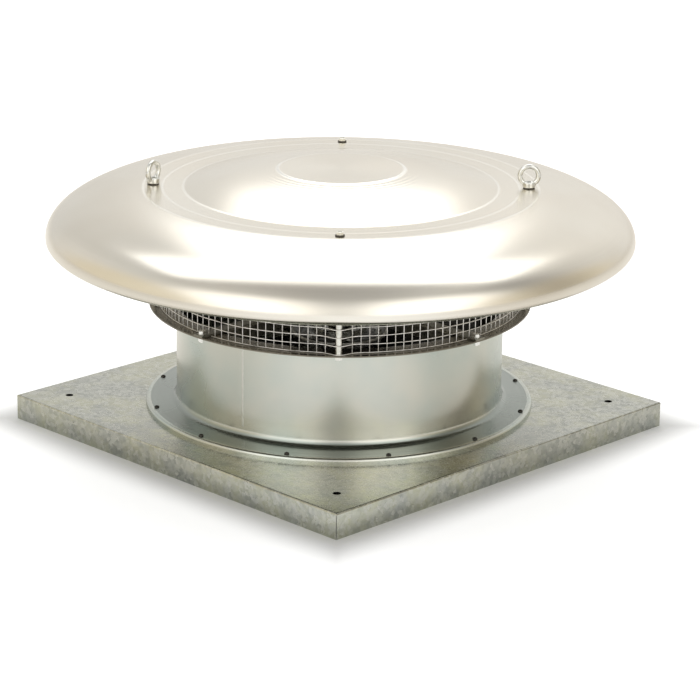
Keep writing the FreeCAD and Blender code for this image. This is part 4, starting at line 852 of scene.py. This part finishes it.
dress(rubber("moulded sealing washer rubber", "4A443B", "5A5348", 0.0008, 0.00005), "cowl_seal_washers")
bpy.ops.object.select_all(action="DESELECT")
bpy.ops.mesh.primitive_cylinder_add(vertices=6, radius=nut_corner, depth=nut_height,
                                    location=(0, 0, nut_seat + nut_height / 2),
                                    rotation=(0, 0, math.pi / 6))
nut = start_piece("nut")
chamfer = (nut_corner - nut_face) * math.tan(math.radians(30))
lens_radius = nut_corner + 0.0002
nut_top = nut_seat + nut_height
lens = spin_outline("lens", [(0, nut_seat), (nut_face, nut_seat), (lens_radius, nut_seat + chamfer),
                             (lens_radius, nut_top - chamfer), (nut_face, nut_top), (0, nut_top)],
                    48, closed=False)
combine(nut, [lens], "INTERSECT")
combine(nut, [drill(stud_radius, cutter_depth, (0, 0, nut_seat), 40)], "DIFFERENCE")
nuts = repeat(nut, "cowl_hex_nuts", round_axis(post_circle, (135, 315)))
finish_piece(nuts, bolt_zinc, "zinc_plated_fasteners", "root", "cowl_nuts", smooth=30)

# Lifting eye nuts
# Two drop-forged M6 eye nuts, zinc-plated, hold the cowl down at the other posts, and the fan is
# lifted by them. The forging blends the ring into its round foot.
eye_ring_radius = 0.014
eye_bar_radius = 0.004
eye_foot_radius = 0.010
eye_foot_height = 0.008
eye_centre = nut_seat + eye_ring_radius + eye_bar_radius

bpy.ops.object.select_all(action="DESELECT")
bpy.ops.mesh.primitive_torus_add(location=(0, 0, eye_centre), rotation=(math.pi / 2, 0, 0),
                                 major_radius=eye_ring_radius, minor_radius=eye_bar_radius,
                                 major_segments=72, minor_segments=24)
eye = start_piece("eye")
bpy.ops.object.select_all(action="DESELECT")
bpy.ops.mesh.primitive_cylinder_add(vertices=64, radius=eye_foot_radius, depth=eye_foot_height,
                                    location=(0, 0, nut_seat + eye_foot_height / 2))
foot_disc = start_piece("eye_foot")
pick_edges(foot_disc, lambda a, b: abs(a.z - b.z) < 1e-6)
bpy.ops.mesh.bevel(offset=0.001, segments=3, affect="EDGES")
bpy.ops.object.mode_set(mode="OBJECT")
combine(eye, [foot_disc], "UNION")
apply_modifier(eye, "REMESH", mode="VOXEL", voxel_size=0.00045)
apply_modifier(eye, "SMOOTH", factor=0.5, iterations=8)
combine(eye, [drill(stud_radius, 2 * eye_foot_height + 0.002, (0, 0, nut_seat), 40)], "DIFFERENCE")
eye_zinc = plated_steel("bright zinc-plated forging", "E2E2DE", "C8C8C2", 0.005, 0.20, 0.00004)
for name, angle, turn in (("eye_nut_right", 45, 0), ("eye_nut_left", 225, 60)):
    place = round_axis(post_circle, (angle,))[0] @ Matrix.Rotation(math.radians(turn), 4, "Z")
    forging = eye.copy()
    forging.data = eye.data.copy()
    bpy.context.scene.collection.objects.link(forging)
    forging = repeat(forging, name + "_forging", [place])
    finish_piece(forging, eye_zinc, "zinc_plated_eye_nuts", "root", name, smooth=40)
bpy.data.objects.remove(eye)

# Studio floor
# A wide sheet of matt white paper. It glows until it shows as white, and keeps the fan's shadow. Its
# glow fades out round the fan's cap, which paints a soft shadow band there that the fan doesn't cast.
# Metal mirrors it dimmer and a little warmer at the sides of the fan than in front.
floor_size = 80.0
near_glow = 0.58
far_glow = 0.70
glow_reach = 4.0
painted_shadow_width = 0.085
mirrored_front = 1.0
mirrored_side = 0.48

bpy.ops.object.select_all(action="DESELECT")
bpy.ops.mesh.primitive_plane_add(size=floor_size)
floor = start_piece("studio_floor")
paper, tree = empty_material("matt white studio paper")
place = add_node(tree, "TexCoord").outputs["Object"]
front = (math.sin(view_azimuth), -math.cos(view_azimuth), 0)
sight = add_node(tree, "VectorMath", {0: place}, operation="NORMALIZE").outputs[0]
before = add_node(tree, "VectorMath", {0: sight, 1: front}, operation="DOT_PRODUCT").outputs["Value"]
share = add_node(tree, "MapRange", {0: before, 1: 0.5, 2: 0.97, 3: mirrored_side,
                                    4: mirrored_front}).outputs[0]
rays = add_node(tree, "LightPath")
camera_ray = rays.outputs["Is Camera Ray"]
whiteness = add_node(tree, "MapRange", {0: before, 1: 0.5, 2: 0.9}).outputs[0]
whiteness = add_node(tree, "Math", {0: whiteness, 1: camera_ray}, operation="MAXIMUM").outputs[0]
tint = add_node(tree, "Mix", {0: whiteness, 6: colour("FFF4E2"), 7: colour("FFFFFF")},
                data_type="RGBA").outputs[2]
seen = add_node(tree, "Math", {0: rays.outputs["Is Glossy Ray"], 1: share}, operation="MULTIPLY").outputs[0]
for ray in (camera_ray, rays.outputs["Is Transmission Ray"]):
    seen = add_node(tree, "Math", {0: seen, 1: ray}, operation="MAXIMUM").outputs[0]
away = add_node(tree, "VectorMath", {0: place}, operation="LENGTH").outputs["Value"]
level = add_node(tree, "MapRange", {0: away, 1: 0.5, 2: glow_reach, 3: near_glow, 4: far_glow}).outputs[0]
offset = add_node(tree, "VectorMath", {0: place}, operation="ABSOLUTE").outputs[0]
offset = add_node(tree, "SeparateXYZ", {0: offset})
aside = add_node(tree, "Math", {0: offset.outputs[0], 1: offset.outputs[1]}, operation="MAXIMUM").outputs[0]
# Painted shadow: the glow fades towards the cap's square outline.
outside_cap = add_node(tree, "MapRange", {0: aside, 1: plate_high.x - 0.005,
                                          2: plate_high.x + painted_shadow_width},
                       interpolation_type="SMOOTHSTEP").outputs[0]
glow = add_node(tree, "Math", {0: seen, 1: level}, operation="MULTIPLY").outputs[0]
glow = add_node(tree, "Math", {0: glow, 1: outside_cap}, operation="MULTIPLY").outputs[0]
matt = add_node(tree, "BsdfDiffuse", {"Color": colour("F4F4F2")}).outputs[0]
lit = add_node(tree, "Emission", {"Color": tint, "Strength": glow}).outputs[0]
both = add_node(tree, "AddShader", {0: matt, 1: lit}).outputs[0]
add_node(tree, "OutputMaterial", {"Surface": both})
floor.data.materials.append(paper)

# Studio light
# A white room. Its uneven walls show only where metal mirrors them: the side walls are warm, the
# ceiling and the right wall dimmer, and two panels on the front wall, left and right of the camera,
# brighter than white. A wide lamp panel hangs over the fan and a longer one behind it, and they make
# the broad fans of light on the domes.
room_light = 0.5
panel_height = 2.35
backdrop_level = 0.87
left_level = 0.76
right_level = 1.0
side_level = 0.88
front_level = 0.92
front_panels = 0.95
ceiling_level = 0.52
ceiling_side_level = 0.72
dark_wall_level = 0.55

world = bpy.data.worlds.new("white studio")
bpy.context.scene.world = world
world.use_nodes = True
tree = world.node_tree
tree.nodes.clear()


def ramp(value, first, last, low, high):
    """A smooth rise or fall of the room's light between two values."""
    return add_node(tree, "MapRange", {0: value, 1: first, 2: last, 3: low, 4: high},
                    interpolation_type="SMOOTHSTEP").outputs[0]


heading = add_node(tree, "TexCoord").outputs["Generated"]
towards = add_node(tree, "VectorMath", {0: heading, 1: front}, operation="DOT_PRODUCT").outputs["Value"]
right = (math.cos(view_azimuth), math.sin(view_azimuth), 0)
rightwards = add_node(tree, "VectorMath", {0: heading, 1: right},
                      operation="DOT_PRODUCT").outputs["Value"]
sideways = add_node(tree, "Math", {0: rightwards}, operation="ABSOLUTE").outputs[0]
upwards = add_node(tree, "SeparateXYZ", {0: heading}).outputs[2]
across = add_node(tree, "Math", {0: towards}, operation="ABSOLUTE").outputs[0]
behind = ramp(rightwards, -0.55, 0.4, left_level, right_level)
behind = ramp(sideways, 0.45, 0.75, behind, side_level)
behind = ramp(sideways, 0.05, 0.2, backdrop_level, behind)
level = ramp(towards, -0.2, 0.3, behind, front_level)
ceiling = ramp(sideways, 0.08, 0.45, ceiling_level, ceiling_side_level)
level = add_node(tree, "Math", {0: level, 1: ramp(upwards, 0.35, 1.0, 1.0, ceiling)},
                 operation="MULTIPLY").outputs[0]
dark_wall = ramp(rightwards, 0.45, 0.7, 1.0, ramp(across, 0.05, 0.5, dark_wall_level, 1.0))
level = add_node(tree, "Math", {0: level, 1: dark_wall}, operation="MULTIPLY").outputs[0]
panel = ramp(towards, 0.1, 0.45, 0.0, front_panels)
for edge in (ramp(sideways, 0.05, 0.35, 0.0, 1.0), ramp(sideways, 0.70, 0.86, 1.0, 0.0),
             ramp(upwards, 0.7, 0.92, 1.0, 0.0)):
    panel = add_node(tree, "Math", {0: panel, 1: edge}, operation="MULTIPLY").outputs[0]
level = add_node(tree, "Math", {0: level, 1: panel}, operation="ADD").outputs[0]
warmth = ramp(sideways, 0.7, 0.92, 0.0, 1.0)
wall = add_node(tree, "Mix", {0: warmth, 6: colour("FFFDF9"), 7: colour("FFF5DF")},
                data_type="RGBA").outputs[2]
rays = add_node(tree, "LightPath")
seen = add_node(tree, "Math", {0: rays.outputs["Is Glossy Ray"], 1: rays.outputs["Is Transmission Ray"]},
                operation="MAXIMUM").outputs[0]
level = add_node(tree, "MapRange", {0: seen, 3: room_light, 4: level}).outputs[0]
level = add_node(tree, "MapRange", {0: rays.outputs["Is Camera Ray"], 3: level, 4: 1.0}).outputs[0]
wall = add_node(tree, "Mix", {0: seen, 6: colour("FFFFFF"), 7: wall}, data_type="RGBA").outputs[2]
sky = add_node(tree, "Background", {"Color": wall, "Strength": level}).outputs[0]
add_node(tree, "OutputWorld", {"Surface": sky})


def ceiling_panel(name, rightward, behind_fan, width, depth, power):
    """A soft lamp panel that hangs level above the fan, square to the camera."""
    lamp_data = bpy.data.lights.new(name, "AREA")
    lamp_data.shape = "RECTANGLE"
    lamp_data.size = width
    lamp_data.size_y = depth
    lamp_data.energy = power
    lamp = bpy.data.objects.new(name, lamp_data)
    bpy.context.scene.collection.objects.link(lamp)
    lamp.matrix_world = (Matrix.Rotation(view_azimuth, 4, "Z")
                         @ Matrix.Translation((rightward, behind_fan, panel_height)))


ceiling_panel("rear ceiling panel", 0.0, 2.6, 1.7, 2.4, 17.0)
ceiling_panel("front ceiling panel", -0.02, 0.68, 3.2, 1.45, 20.0)
bpy.context.scene.view_settings.view_transform = "Standard"
